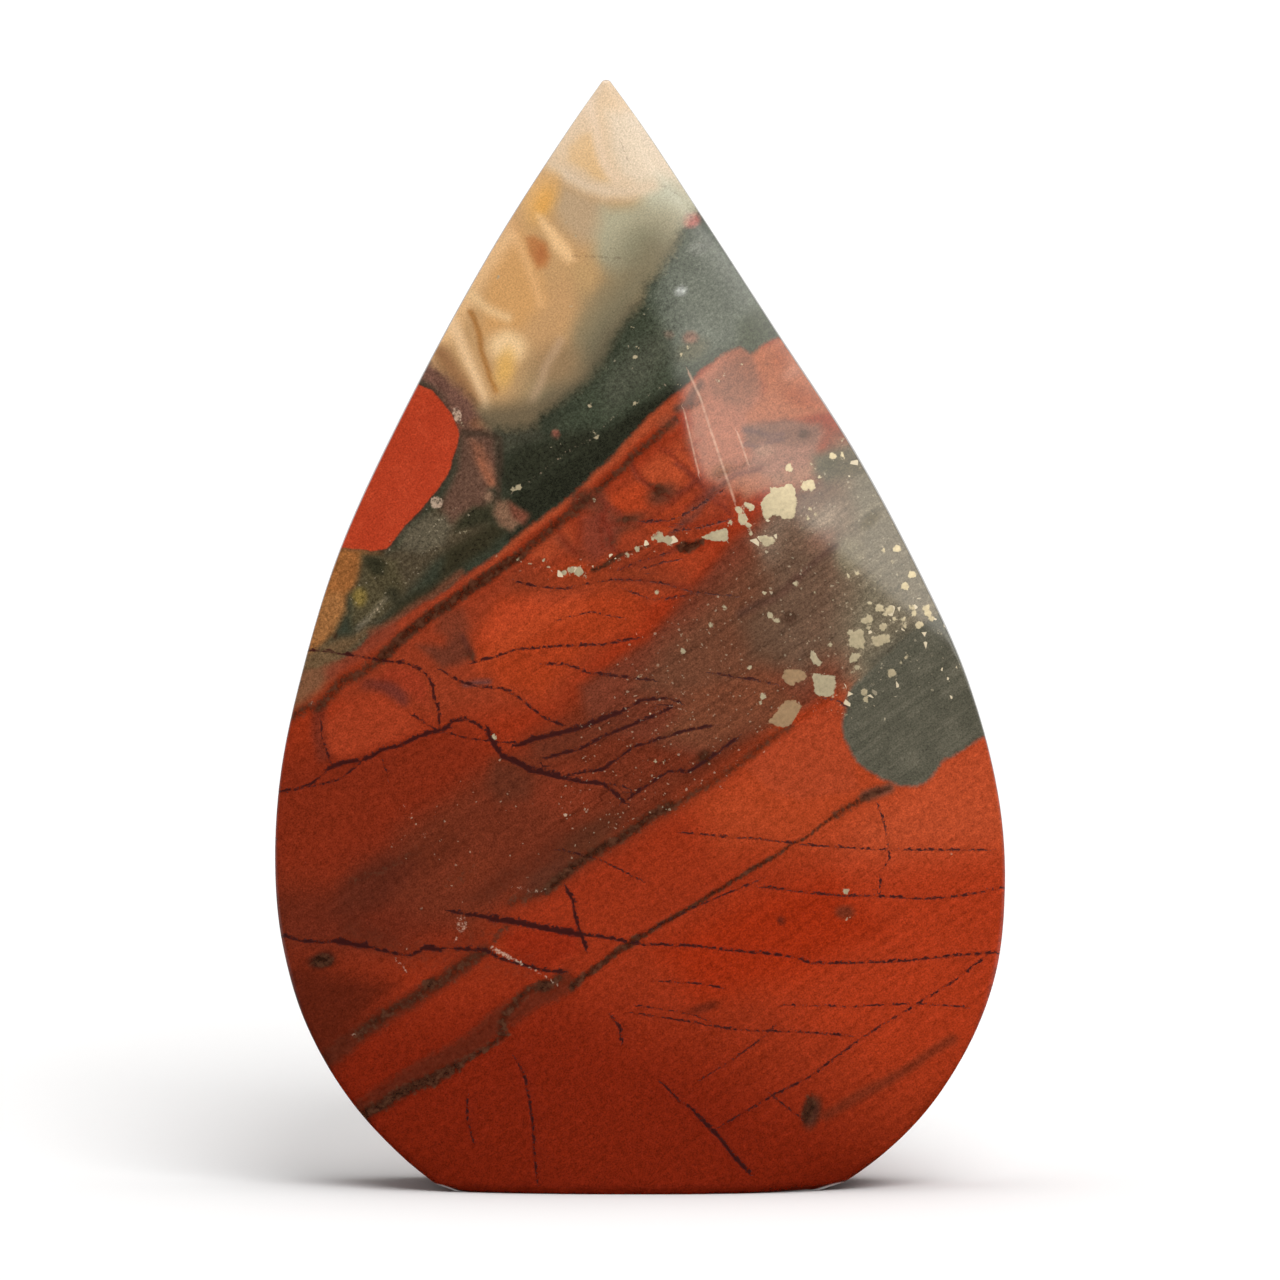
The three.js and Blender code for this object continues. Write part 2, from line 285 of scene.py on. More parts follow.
RED_BASE = (138, 45, 20)
RED_MARKS = (
    Patch((166, 68, 37), 90, ((820, 780), (900, 740), (1060, 700), (1060, 880), (900, 885), (840, 870))),
    Patch((156, 60, 29), 60, ((690, 800), (780, 730), (850, 690), (900, 790), (820, 850), (720, 850))),
    Patch((153, 50, 22), 80, ((770, 900), (860, 870), (1060, 850), (1060, 1050), (900, 1090), (800, 1010),
        (740, 960))),
    Patch((143, 40, 13), 50, ((660, 950), (740, 905), (830, 880), (880, 930), (800, 975), (700, 1000))),
    # The wide dark patches over the bottom and down the left side are partly the red's own darker tone and
    # partly painted shade of the lower face
    Patch((115, 31, 12), 120, ((150, 1030), (420, 1010), (560, 1000), (700, 1050), (820, 1110), (920, 1190),
        (840, 1300), (150, 1300))),
    Patch((118, 39, 19), 60, ((150, 780), (330, 740), (470, 720), (520, 790), (480, 860), (330, 880),
        (150, 900))),
    Patch((98, 37, 21), 60, ((150, 880), (330, 880), (420, 830), (480, 850), (470, 930), (380, 960),
        (150, 960))),
    Patch((87, 30, 15), 40, ((150, 960), (300, 960), (395, 985), (360, 1030), (330, 1064), (150, 1120))),
    Patch((134, 52, 28), 40, ((470, 590), (600, 490), (720, 400), (830, 330), (860, 420), (720, 520),
        (640, 600), (560, 700), (440, 720), (330, 700), (380, 640))),
    Patch((150, 54, 24), 30, ((470, 650), (500, 600), (580, 560), (640, 580), (640, 625), (590, 650),
        (540, 700), (500, 690))),
    Patch((166, 62, 31), 16, ((478, 640), (500, 606), (545, 588), (590, 590), (575, 606), (530, 624),
        (500, 640))),
    Streak((150, 66, 38), 16, 8, ((690, 392), (645, 427), (600, 467), (560, 502), (520, 532), (490, 556),
        (466, 574))),
    Streak((112, 62, 44), 8, 9, ((484, 556), (462, 572), (430, 594), (400, 615), (372, 635), (345, 655))),
    Streak((140, 56, 32), 7, 8, ((490, 558), (464, 580), (436, 600), (404, 624), (372, 646), (350, 662))),
    Patch((158, 66, 36), 14, ((640, 470), (680, 440), (700, 470), (676, 490), (650, 486), (636, 484))),
    Patch((156, 58, 28), 12, ((604, 496), (640, 480), (654, 500), (640, 512), (612, 510))),
    Patch((152, 58, 28), 12, ((645, 520), (690, 498), (700, 510), (668, 532), (650, 530))),
    Patch((150, 62, 34), 12, ((530, 548), (566, 524), (574, 540), (550, 560), (532, 560))),
    Patch((146, 55, 28), 12, ((640, 585), (676, 556), (716, 548), (706, 566), (670, 596), (650, 606))),
    Spot((96, 50, 34), (663, 494), (15, 9), -20, 12),
    Spot((104, 52, 34), (628, 522), (18, 8), -14, 12),
    Patch((104, 52, 36), 12, ((572, 492), (602, 488), (612, 506), (622, 530), (614, 550), (596, 540),
        (592, 512), (570, 508)), 0.9),
    Streak((104, 50, 34), 9, 12, ((558, 538), (570, 548), (590, 560)), 0.6),
    Streak((112, 50, 30), 26, 26, ((520, 584), (560, 588), (600, 580), (650, 578), (700, 590)), 0.45),
    Patch((98, 48, 32), 12, ((418, 646), (443, 646), (456, 626), (466, 634), (474, 652), (466, 662),
        (441, 668))),
    Patch((106, 50, 32), 14, ((440, 610), (462, 608), (470, 628), (452, 642), (436, 632)), 0.8),
    Streak((80, 40, 30), 4, 5, ((462, 636), (468, 648), (474, 660)), 0.8),
    Streak((96, 58, 54), 5, 6, ((464, 684), (476, 682), (488, 682)), 0.9),
    Patch((104, 46, 36), 14, ((372, 682), (392, 674), (408, 690), (404, 704), (386, 700)), 0.8),
    Patch((156, 60, 32), 12, ((362, 712), (384, 706), (404, 714), (410, 726), (392, 738), (364, 742))),
    Patch((162, 62, 30), 12, ((474, 664), (500, 636), (540, 610), (584, 598), (588, 612), (544, 632),
        (506, 654), (480, 672)), 0.8),
    Patch((116, 52, 36), 12, ((580, 516), (604, 508), (614, 524), (612, 550), (596, 562), (582, 548)), 0.9),
    Streak((108, 46, 32), 4, 5, ((598, 496), (608, 504), (618, 512), (622, 520)), 0.8),
    Streak((108, 46, 32), 4, 5, ((606, 506), (597, 518), (600, 530)), 0.7),
    Streak((108, 48, 34), 4, 5, ((630, 466), (634, 476), (644, 482), (654, 487)), 0.7),
    Streak((102, 44, 32), 4, 5, ((676, 464), (688, 472), (697, 480), (688, 488), (678, 494)), 0.8),
    Streak((98, 50, 40), 5, 6, ((714, 490), (700, 500), (690, 510), (682, 522)), 0.7),
    Streak((120, 40, 22), 4, 5, ((640, 522), (664, 524), (688, 526), (722, 519)), 0.7),
    Streak((112, 44, 28), 4, 5, ((620, 569), (644, 562), (668, 553), (680, 548)), 0.7),
    Streak((110, 42, 26), 5, 5, ((616, 580), (640, 581), (664, 584), (690, 588)), 0.6),
    Patch((146, 54, 28), 14, ((322, 722), (340, 708), (380, 690), (412, 716), (420, 730), (386, 742),
        (340, 760), (326, 750))),
    Patch((138, 50, 28), 12, ((390, 666), (412, 668), (426, 682), (430, 704), (414, 698), (396, 684),
        (376, 680))),
    Streak((98, 44, 34), 11, 12, ((366, 684), (388, 688), (404, 700)), 0.7),
    Streak((96, 40, 28), 12, 12, ((320, 706), (318, 730), (322, 756)), 0.7),
    Patch((112, 80, 56), 16, ((290, 652), (340, 640), (346, 660), (322, 690), (280, 720)), 0.9),
    Streak((120, 54, 36), 12, 12, ((392, 628), (372, 644), (350, 660), (330, 674)), 0.8),
    Patch((102, 43, 25), 40, ((600, 680), (560, 716), (520, 745), (400, 830), (380, 900), (470, 930),
        (560, 880), (700, 790), (760, 740), (680, 680))),
    Patch((104, 50, 33), 16, ((880, 440), (800, 480), (735, 538), (684, 600), (650, 638), (616, 662),
        (580, 686), (590, 730), (700, 756), (820, 700), (900, 640))),
    Patch((99, 60, 42), 36, ((880, 450), (800, 490), (748, 556), (702, 608), (660, 648), (636, 690),
        (700, 706), (820, 660), (880, 600))),
    Patch((106, 60, 40), 24, ((690, 690), (760, 670), (800, 700), (770, 730), (710, 750), (660, 740))),
    Patch((110, 45, 26), 20, ((560, 760), (600, 775), (600, 805), (560, 815), (530, 800))),
    Patch((90, 42, 26), 18, ((492, 760), (514, 764), (534, 780), (528, 800), (500, 804), (486, 784))),
    Patch((94, 44, 28), 16, ((530, 742), (600, 720), (640, 712), (610, 736), (560, 758), (536, 758)), 0.8),
    Spot((88, 45, 28), (588, 838), (34, 12), -32, 14),
    Spot((88, 44, 29), (548, 876), (30, 12), -34, 14),
    Spot((93, 39, 22), (430, 850), (34, 16), -35, 18),
    Spot((86, 36, 22), (372, 886), (44, 20), -35, 24),
    Spot((118, 50, 28), (470, 872), (26, 10), -30, 14, 0.5),
    Patch((90, 64, 48), 30, ((740, 620), (780, 585), (820, 580), (830, 640), (790, 665), (750, 660))),
    Patch((124, 104, 88), 26, ((752, 540), (775, 515), (820, 490), (850, 540), (820, 570), (770, 566))),
    Patch((98, 74, 58), 50, ((780, 520), (830, 470), (870, 560), (850, 640), (800, 680), (770, 640),
        (765, 570))),
    Patch((108, 98, 80), 50, ((836, 440), (880, 430), (960, 500), (990, 640), (900, 700), (850, 700),
        (838, 640), (850, 570), (840, 500))),
    Patch((156, 92, 68), 12, ((684, 385), (700, 374), (716, 354), (740, 342), (760, 344), (764, 400),
        (760, 440), (752, 480), (735, 496), (706, 478), (698, 455), (690, 420))),
    Patch((128, 78, 57), 18, ((712, 374), (736, 352), (756, 350), (758, 370), (764, 388), (752, 402),
        (742, 412), (722, 402), (706, 392)), 0.9),
    Patch((158, 90, 60), 10, ((752, 352), (774, 340), (796, 330), (830, 384), (840, 410), (800, 418),
        (776, 422), (750, 426), (744, 416), (756, 404), (766, 388), (756, 370))),
    Spot((152, 80, 48), (781, 352), (9, 14), 20, 10),
    Spot((166, 104, 78), (792, 372), (10, 7), -30, 8),
    Spot((152, 80, 50), (804, 398), (18, 9), 20, 10),
    Spot((160, 98, 72), (694, 440), (6, 10), 20, 10, 0.6),
    Spot((138, 66, 42), (668, 424), (10, 8), -30, 10),
    Spot((134, 80, 52), (722, 470), (10, 6), -30, 8),
    Patch((152, 92, 66), 12, ((732, 480), (752, 466), (774, 468), (770, 488), (745, 500))),
    Patch((143, 98, 76), 16, ((762, 462), (800, 455), (818, 456), (816, 478), (800, 486), (772, 490))),
    Patch((140, 94, 76), 12, ((752, 446), (800, 436), (824, 430), (816, 456), (796, 470), (764, 474),
        (748, 464))),
    Patch((118, 78, 62), 9, ((742, 426), (760, 424), (778, 419), (800, 420), (822, 424), (816, 444),
        (796, 446), (770, 444), (746, 446))),
    Streak((92, 62, 58), 4, 5, ((744, 431), (758, 432), (770, 436), (784, 434)), 0.8),
    Streak((92, 62, 58), 4, 5, ((744, 444), (756, 446), (768, 443), (782, 440)), 0.8),
    Spot((146, 104, 84), (764, 450), (10, 6), 0, 6),
    Patch((86, 76, 56), 14, ((812, 456), (832, 448), (852, 446), (872, 470), (852, 476), (826, 482),
        (812, 472))),
    Spot((70, 64, 44), (829, 464), (9, 5), -20, 6, 0.8),
    Spot((130, 111, 92), (826, 518), (20, 12), -30, 20),
    Spot((122, 88, 70), (820, 540), (14, 9), -34, 14, 0.9),
    Spot((120, 110, 88), (850, 556), (14, 20), 0, 12, 0.8),
    Spot((82, 70, 46), (870, 520), (12, 6), -40, 8, 0.9),
    Streak((80, 56, 46), 5, 6, ((836, 546), (822, 556), (812, 564), (798, 578)), 0.9),
    Patch((88, 82, 68), 14, ((868, 660), (900, 630), (960, 616), (980, 680), (930, 690), (880, 690))),
    Streak((78, 52, 42), 6, 9, ((798, 578), (775, 598), (740, 612)), 0.8),
    Spot((72, 50, 38), (789, 618), (7, 6), 0, 5, 0.8),
    Streak((96, 60, 46), 7, 7, ((700, 384), (688, 402), (678, 410))),
    Streak((112, 40, 24), 3, 4, ((627, 457), (643, 480), (663, 493), (673, 500)), 0.85),
    Streak((112, 40, 24), 3.5, 4, ((667, 450), (687, 467), (698, 480), (713, 500), (732, 514)), 0.8),
    Streak((108, 40, 24), 3, 5, ((700, 481), (684, 494), (662, 512), (640, 527)), 0.8),
    Streak((108, 40, 26), 4, 4, ((600, 513), (610, 533), (613, 550), (627, 557)), 0.85),
    Streak((112, 42, 26), 3, 4, ((607, 503), (600, 527), (603, 547)), 0.8),
    Streak((116, 44, 26), 3, 4, ((580, 487), (577, 513), (580, 533), (573, 552)), 0.75),
    Streak((116, 42, 24), 3, 4, ((557, 523), (563, 540), (580, 557)), 0.75),
    Streak((96, 52, 42), 5, 6, ((760, 467), (736, 474), (713, 493), (696, 514), (672, 534)), 0.75),
    Streak((112, 40, 24), 3, 5, ((706, 497), (690, 504), (664, 519), (640, 524), (610, 524)), 0.7),
    Streak((120, 44, 26), 3, 4, ((654, 440), (664, 452), (690, 448), (700, 440)), 0.6),
    Patch((132, 38, 16), 14, ((505, 933), (576, 925), (580, 950), (540, 972), (505, 960))),
    Patch((152, 62, 35), 8, ((849, 690), (800, 722), (760, 752), (745, 766), (770, 790), (800, 800),
        (860, 790), (850, 750), (842, 730)), 0.6),
    Spot((60, 26, 16), (321, 960), (13, 8), -16, 6),
    Spot((74, 40, 28), (812, 1112), (9, 16), 12, 8),
    Streak((92, 40, 24), 10, 9, ((826, 1116), (860, 1096), (901, 1072), (952, 1039)), 0.6),
    Spot((96, 44, 28), (845, 912), (9, 7), 0, 6, 0.8),
    Spot((94, 32, 18), (781, 921), (4, 4), 0, 3),
    Streak((110, 66, 50), 9, 7, ((890, 787), (865, 796))),
    Spot((86, 32, 18), (704, 1008), (16, 5), -20, 6, 0.7),
)

# How far dark and brown grains cover the red: the stripe beside the green boundary, the lower edge of
# the haze and the thin lines under it. Marks without a colour give only this cover.
DARK_STREAKS = (
    Spot(None, (694, 404), (12, 5), -40, 8, 0.7),
    Streak(None, 9, 9, ((676, 420), (664, 431), (648, 445), (634, 456), (610, 478), (596, 490)), 0.8),
    Spot(None, (586, 497), (16, 10), -20, 10, 0.55),
    Streak(None, 12, 10, ((588, 497), (564, 518), (540, 538), (520, 554), (502, 566)), 0.8),
    Streak(None, 13, 9, ((520, 556), (500, 568), (480, 582), (464, 594), (436, 612), (413, 630), (395, 644),
        (381, 657)), 0.95),
    Streak(None, 12, 10, ((381, 657), (363, 671), (341, 682), (328, 697), (318, 708)), 0.75),
    Streak(None, 12, 12, ((310, 706), (270, 730), (180, 780)), 0.7),
    Spot(None, (660, 490), (8, 6), 30, 8, 0.8),
    Streak(None, 4, 6, ((646, 482), (660, 490), (672, 498)), 0.6),
    Spot(None, (626, 519), (11, 4), -10, 6, 0.8),
    Spot(None, (612, 542), (9, 7), 0, 10, 0.45),
    Streak(None, 6, 9, ((748, 462), (732, 470), (718, 478)), 0.6),
    Spot(None, (470, 656), (8, 5), 30, 8, 0.6),
    Spot(None, (804, 433), (8, 6), 0, 6, 0.7),
    Streak(None, 8, 14, ((792, 727), (756, 749), (729, 771), (698, 791), (668, 808)), 0.8),
    Streak(None, 11, 12, ((672, 804), (652, 816), (633, 829), (613, 842), (594, 852), (573, 866), (560, 878),
        (548, 890))),
    Streak(None, 9, 16, ((548, 888), (530, 896), (510, 904)), 0.75),
    Spot(None, (704, 756), (8, 9), 40, 8, 0.8),
    Streak(None, 10, 10, ((880, 789), (852, 805), (834, 816)), 0.7),
    Streak(None, 3.5, 4, ((890, 787), (865, 796), (838, 814), (809, 835), (786, 848), (773, 857))),
    Streak(None, 5, 4, ((773, 857), (735, 880), (704, 900), (666, 922), (640, 938), (622, 948))),
    Streak(None, 8, 6, ((640, 937), (625, 947), (605, 960), (588, 974), (572, 986))),
    Spot(None, (544, 986), (9, 7), 0, 8),
    Streak(None, 12, 12, ((486, 952), (468, 962), (450, 974), (438, 984)), 0.75),
    Streak(None, 5, 6, ((494, 940), (500, 930), (512, 924)), 0.7),
    Spot(None, (430, 984), (8, 6), -20, 8),
    Streak(None, 11, 12, ((430, 986), (412, 1000), (398, 1008), (380, 1020), (360, 1034)), 0.8),
    Spot(None, (433, 1083), (8, 5), -20, 5),
    Spot(None, (404, 1092), (9, 5), -30, 6),
    Streak(None, 9, 8, ((560, 978), (546, 986), (528, 990), (514, 1003), (503, 1018), (502, 1034)), 0.8),
    Streak(None, 7, 7, ((506, 1034), (487, 1048), (470, 1058), (455, 1067)), 0.9),
    Streak(None, 12, 10, ((458, 1066), (430, 1080), (412, 1088), (398, 1094), (386, 1102), (370, 1112),
        (300, 1150), (220, 1190))),
    Streak(None, 5, 4, ((593, 571), (604, 566), (614, 560), (622, 555))),
    Streak(None, 2.5, 3, ((622, 555), (634, 551), (654, 543)), 0.9),
    Patch(None, 5, ((674, 547), (684, 542), (694, 541), (706, 538), (704, 545), (698, 548), (690, 554),
        (680, 554))),
    Patch(None, 5, ((806, 1094), (812, 1092), (817, 1106), (811, 1120), (804, 1126), (802, 1116)), 0.8),
    Spot(None, (321, 961), (11, 7), -6, 6, 0.9),
    Spot(None, (458, 876), (20, 8), -30, 14, 0.4),
    Streak(None, 8, 14, ((418, 850), (380, 872), (352, 882)), 0.5),
)
BROWN_STREAKS = (
    Streak(None, 18, 14, ((484, 950), (450, 974), (400, 1008), (358, 1036), (330, 1056), (200, 1120))),
    Streak(None, 24, 16, ((566, 982), (530, 1000), (500, 1020), (470, 1046), (430, 1068), (400, 1086),
        (360, 1112), (300, 1150), (220, 1190))),
    Streak(None, 26, 20, ((500, 930), (470, 945), (440, 955), (400, 950), (350, 930)), 0.5),
    Patch(None, 24, ((490, 905), (540, 870), (600, 836), (640, 812), (620, 800), (560, 830), (500, 870),
        (460, 900)), 0.6),
    Patch(None, 20, ((700, 780), (790, 716), (760, 716), (700, 750), (660, 790)), 0.5),
    Patch(None, 24, ((380, 948), (440, 940), (540, 950), (540, 985), (470, 978), (400, 978)), 0.35),
)

# Cracks, each with its width in pixels
CRACKS = (
    Crack(1.7, ((300, 650), (328, 651), (341, 654), (363, 657), (386, 661), (406, 663), (419, 669),
        (428, 676), (433, 687), (433, 696), (438, 707), (439, 724))),
    Crack(1.6, ((443, 671), (454, 678), (463, 683), (481, 687), (501, 688), (517, 696), (530, 707),
        (546, 719), (562, 725))),
    Crack(1.2, ((414, 716), (426, 724), (437, 730))),
    Crack(1.3, ((180, 812), (294, 789), (312, 784), (330, 768))),
    Crack(2.6, ((330, 768), (346, 762), (361, 760), (372, 756), (386, 748), (399, 746), (419, 736),
        (437, 731), (446, 728))),
    Crack(2.2, ((446, 728), (452, 721), (466, 719), (477, 724), (488, 731))),
    Crack(3.6, ((488, 731), (494, 744), (503, 756), (517, 762), (530, 770), (543, 772), (560, 777))),
    Crack(2.4, ((560, 777), (582, 782), (602, 783), (613, 791), (624, 801))),
    Crack(1.1, ((362, 761), (341, 778), (326, 783), (288, 791))),
    Crack(1.0, ((446, 733), (466, 738), (486, 741), (508, 743), (526, 742), (541, 738))),
    Crack(1.0, ((383, 762), (388, 778))),
    Crack(1.2, ((321, 724), (322, 738), (331, 765))),
    Crack(2.0, ((624, 801), (642, 789), (658, 778), (669, 771), (689, 772), (704, 762), (720, 751),
        (738, 738))),
    Crack(3.2, ((518, 745), (534, 739), (560, 733), (582, 727), (604, 718), (620, 712))),
    Crack(1.8, ((620, 712), (642, 700), (669, 698), (678, 702))),
    Crack(2.0, ((545, 758), (560, 754), (582, 748), (604, 736), (627, 727), (649, 718), (669, 709))),
    Crack(1.9, ((564, 776), (582, 772), (602, 770), (616, 760), (633, 747), (662, 738), (684, 731),
        (711, 726))),
    Crack(1.0, ((602, 783), (627, 788))),
    Crack(1.8, ((180, 928), (285, 936), (302, 941), (320, 942), (340, 941))),
    Crack(3.8, ((338, 941), (350, 943), (366, 946))),
    Crack(1.8, ((366, 946), (380, 950), (397, 954), (412, 955), (427, 947))),
    Crack(3.6, ((427, 948), (440, 949))),
    Crack(2.2, ((455, 949), (470, 949), (487, 951), (497, 957), (520, 964), (542, 970), (562, 972))),
    Crack(2.2, ((452, 912), (466, 914), (480, 916), (497, 920))),
    Crack(4.0, ((490, 918), (517, 922), (540, 927), (562, 931), (580, 934))),
    Crack(2.2, ((580, 934), (605, 937), (640, 944))),
    Crack(1.6, ((640, 944), (696, 946), (735, 951), (773, 954), (799, 958), (809, 963), (850, 963),
        (901, 961), (952, 956), (996, 952))),
    Crack(2.4, ((567, 890), (574, 902), (575, 915), (579, 927), (582, 937), (586, 947))),
    Crack(1.2, ((676, 531), (700, 528), (728, 520))),
    Crack(1.4, ((644, 522), (660, 521), (676, 519), (696, 508), (720, 492))),
    Crack(0.9, ((620, 570), (640, 561), (660, 556), (672, 552))),
    Crack(1.0, ((646, 568), (662, 563), (678, 560))),
    Crack(1.0, ((660, 600), (676, 598), (692, 594))),
    Crack(0.9, ((560, 620), (590, 612), (620, 618))),
    Crack(1.1, ((878, 806), (883, 820), (885, 829), (888, 845), (889, 859), (880, 872), (880, 886))),
    Crack(1.2, ((684, 833), (725, 837), (760, 839), (806, 845), (850, 848), (888, 850), (926, 850),
        (990, 850))),
    Crack(1.4, ((763, 887), (811, 893), (843, 896), (875, 896), (926, 899), (964, 896), (1004, 887))),
    Crack(1.1, ((783, 1005), (820, 1006), (850, 1007), (885, 1005), (916, 1004), (964, 1007))),
    Crack(1.3, ((988, 954), (952, 982), (916, 1004), (880, 1026), (850, 1046), (809, 1077), (773, 1095),
        (722, 1125))),
    Crack(1.2, ((633, 1013), (665, 1018), (696, 1023), (730, 1029), (758, 1031), (800, 1032), (850, 1036))),
    Crack(2.6, ((693, 1110), (710, 1128), (722, 1140), (735, 1158), (749, 1172))),
    Crack(1.2, ((661, 1082), (680, 1102), (693, 1110))),
    Crack(1.1, ((773, 1097), (787, 1108), (801, 1118))),
    Crack(1.5, ((516, 1059), (523, 1072), (526, 1084), (530, 1105), (533, 1125), (534, 1153), (537, 1180))),
    Crack(1.2, ((467, 1100), (467, 1120), (473, 1141))),
    Crack(1.8, ((613, 1018), (620, 1028), (621, 1039))),
    Crack(1.5, ((474, 662), (492, 658), (508, 652), (519, 649), (537, 648), (560, 646), (602, 645),
        (636, 638))),
    Crack(1.6, ((546, 664), (566, 664), (576, 668), (589, 673), (615, 676), (640, 679), (652, 680))),
    Crack(1.3, ((518, 582), (532, 586), (552, 588), (568, 589))),
    Crack(1.0, ((556, 590), (580, 585), (610, 580), (640, 580), (666, 584), (692, 592), (736, 597))),
    Crack(0.9, ((628, 591), (650, 599), (678, 597))),
    Crack(1.4, ((713, 673), (733, 677), (756, 680), (773, 684))),
    Crack(1.0, ((568, 256), (596, 257), (622, 259))),
    Crack(0.9, ((654, 185), (668, 188), (678, 195))),
    Crack(0.9, ((622, 145), (624, 152), (627, 160))),
    Crack(1.0, ((654, 981), (700, 984), (722, 988))),
    Crack(1.0, ((640, 1006), (690, 1014), (706, 1020))),
    Crack(1.0, ((700, 1080), (730, 1062), (760, 1040), (775, 1026))),
    Crack(1.0, ((640, 935), (700, 905), (760, 880))),
    Crack(1.0, ((560, 850), (600, 860), (640, 880))),
    Crack(1.2, ((846, 706), (838, 700), (828, 698))),
)

# Thin pale lines of painted highlight, the mirrored edge of a bright light in the polish, each with its width
# in pixels
PAINTED_GLINT_LINES = (
    Crack(1.6, ((689, 373), (700, 397), (711, 431), (724, 470), (735, 502))),
    Crack(1.2, ((684, 410), (691, 440), (696, 462), (699, 473))),
    Crack(1.3, ((738, 434), (743, 448), (748, 464))),
)

# Pyrite: pale crystals, tan ones, and small round grains given as centre and radius
PALE_CRYSTALS = (
    ((760, 503), (766, 496), (770, 492), (771, 486), (777, 488), (783, 486), (791, 482), (795, 487),
        (797, 504), (794, 520), (784, 519), (774, 514), (770, 520), (764, 520), (762, 512)),
    ((801, 480), (807, 480), (809, 479), (814, 480), (816, 488), (812, 492), (808, 490), (801, 492)),
    ((700, 538), (714, 531), (728, 527), (729, 542), (713, 541)),
    ((849, 632), (862, 633), (865, 637), (864, 649), (856, 648), (849, 646)),
    ((871, 637), (879, 636), (891, 635), (890, 642), (878, 646), (872, 645)),
    ((810, 651), (815, 650), (817, 656), (822, 662), (819, 667), (814, 665), (810, 658)),
    ((853, 653), (861, 652), (858, 660), (850, 664), (849, 658)),
    ((887, 670), (893, 668), (897, 673), (892, 678), (887, 676)),
    ((811, 674), (835, 675), (836, 682), (833, 698), (815, 695), (814, 684)),
)
TAN_CRYSTALS = (
    ((784, 669), (794, 670), (802, 669), (807, 676), (804, 681), (797, 682), (794, 686), (787, 684),
        (782, 678)),
    ((766, 723), (776, 713), (784, 701), (796, 701), (802, 706), (797, 716), (792, 724), (783, 728),
        (776, 725)),
)
PALE_GRAINS = (
    (739, 510, 4), (743, 519, 5.5), (751, 507, 4), (747, 505, 3), (731, 523, 3), (748, 526, 3), (766, 540, 5),
    (771, 540, 4), (761, 538, 3), (768, 544, 3), (751, 533, 2.5), (762, 547, 2), (789, 468, 4),
    (763, 696, 3.5), (760, 703, 2), (879, 608, 4), (890, 609, 4.5), (885, 614, 3), (895, 619, 2.5),
    (903, 619, 3), (905, 625, 3), (912, 607, 3), (914, 614, 3), (919, 625, 4), (926, 608, 4), (928, 614, 4),
    (932, 618, 3), (869, 619, 4.5), (864, 620, 3), (883, 627, 4), (868, 628, 3), (851, 633, 4), (859, 634, 5),
    (881, 638, 4.5), (897, 549, 4.5), (883, 550, 2.5), (892, 562, 2), (912, 575, 4.5), (905, 586, 4),
    (904, 588, 3), (857, 573, 2.5), (849, 576, 2), (862, 573, 2), (837, 582, 2), (796, 583, 2.5),
    (874, 582, 1.5), (870, 603, 2), (834, 599, 1.5), (830, 645, 2.5), (864, 692, 3.5), (866, 700, 3),
    (857, 668, 3), (852, 672, 2), (907, 657, 2.5), (901, 663, 2), (873, 683, 2), (846, 715, 2), (833, 456, 4),
    (812, 463, 2), (842, 439, 2), (842, 454, 2), (844, 458, 2), (819, 477, 2), (838, 477, 1.5), (810, 509, 2),
    (816, 515, 2), (808, 518, 2), (802, 528, 1.5), (660, 538, 5), (668, 540, 4.5), (660, 533, 3),
    (653, 538, 3), (671, 544, 2), (645, 546, 2), (637, 549, 3), (627, 555, 2.5), (619, 560, 2), (579, 572, 5),
    (571, 570, 4), (564, 573, 3), (586, 577, 2), (549, 568, 2), (544, 560, 2), (530, 565, 2), (846, 891, 3.5),
    (848, 919, 2.2), (856, 914, 1.5), (950, 854, 2), (640, 676, 2.5), (657, 592, 2.5), (794, 584, 2.5),
    (683, 651, 3), (750, 667, 2.5), (815, 592, 2), (724, 608, 3), (764, 593, 2), (770, 615, 4), (777, 620, 3),
    (711, 625, 2.5), (632, 745, 2), (580, 726, 2), (655, 761, 2.5), (665, 763, 2), (494, 737, 3),
    (681, 634, 2), (626, 658, 2), (689, 640, 2), (519, 487, 3.5), (513, 490, 2), (597, 437, 2.5),
    (593, 431, 2), (590, 406, 2.5), (635, 404, 2.5), (462, 424, 2), (632, 328, 2), (637, 348, 2),
    (635, 357, 2.5), (681, 355, 2), (688, 347, 2), (679, 385, 2), (650, 309, 1.5), (667, 273, 2),
    (622, 120, 1.5), (626, 150, 1.5), (498, 277, 2), (566, 222, 1.5), (576, 236, 1.5), (571, 307, 2),
    (381, 561, 1.5), (405, 583, 1.3), (465, 532, 1.3), (497, 556, 1.5), (518, 559, 1.8), (578, 499, 1.8),
    (594, 500, 1.8), (608, 601, 1.5), (724, 375, 2), (717, 381, 2), (742, 364, 1.5),
)

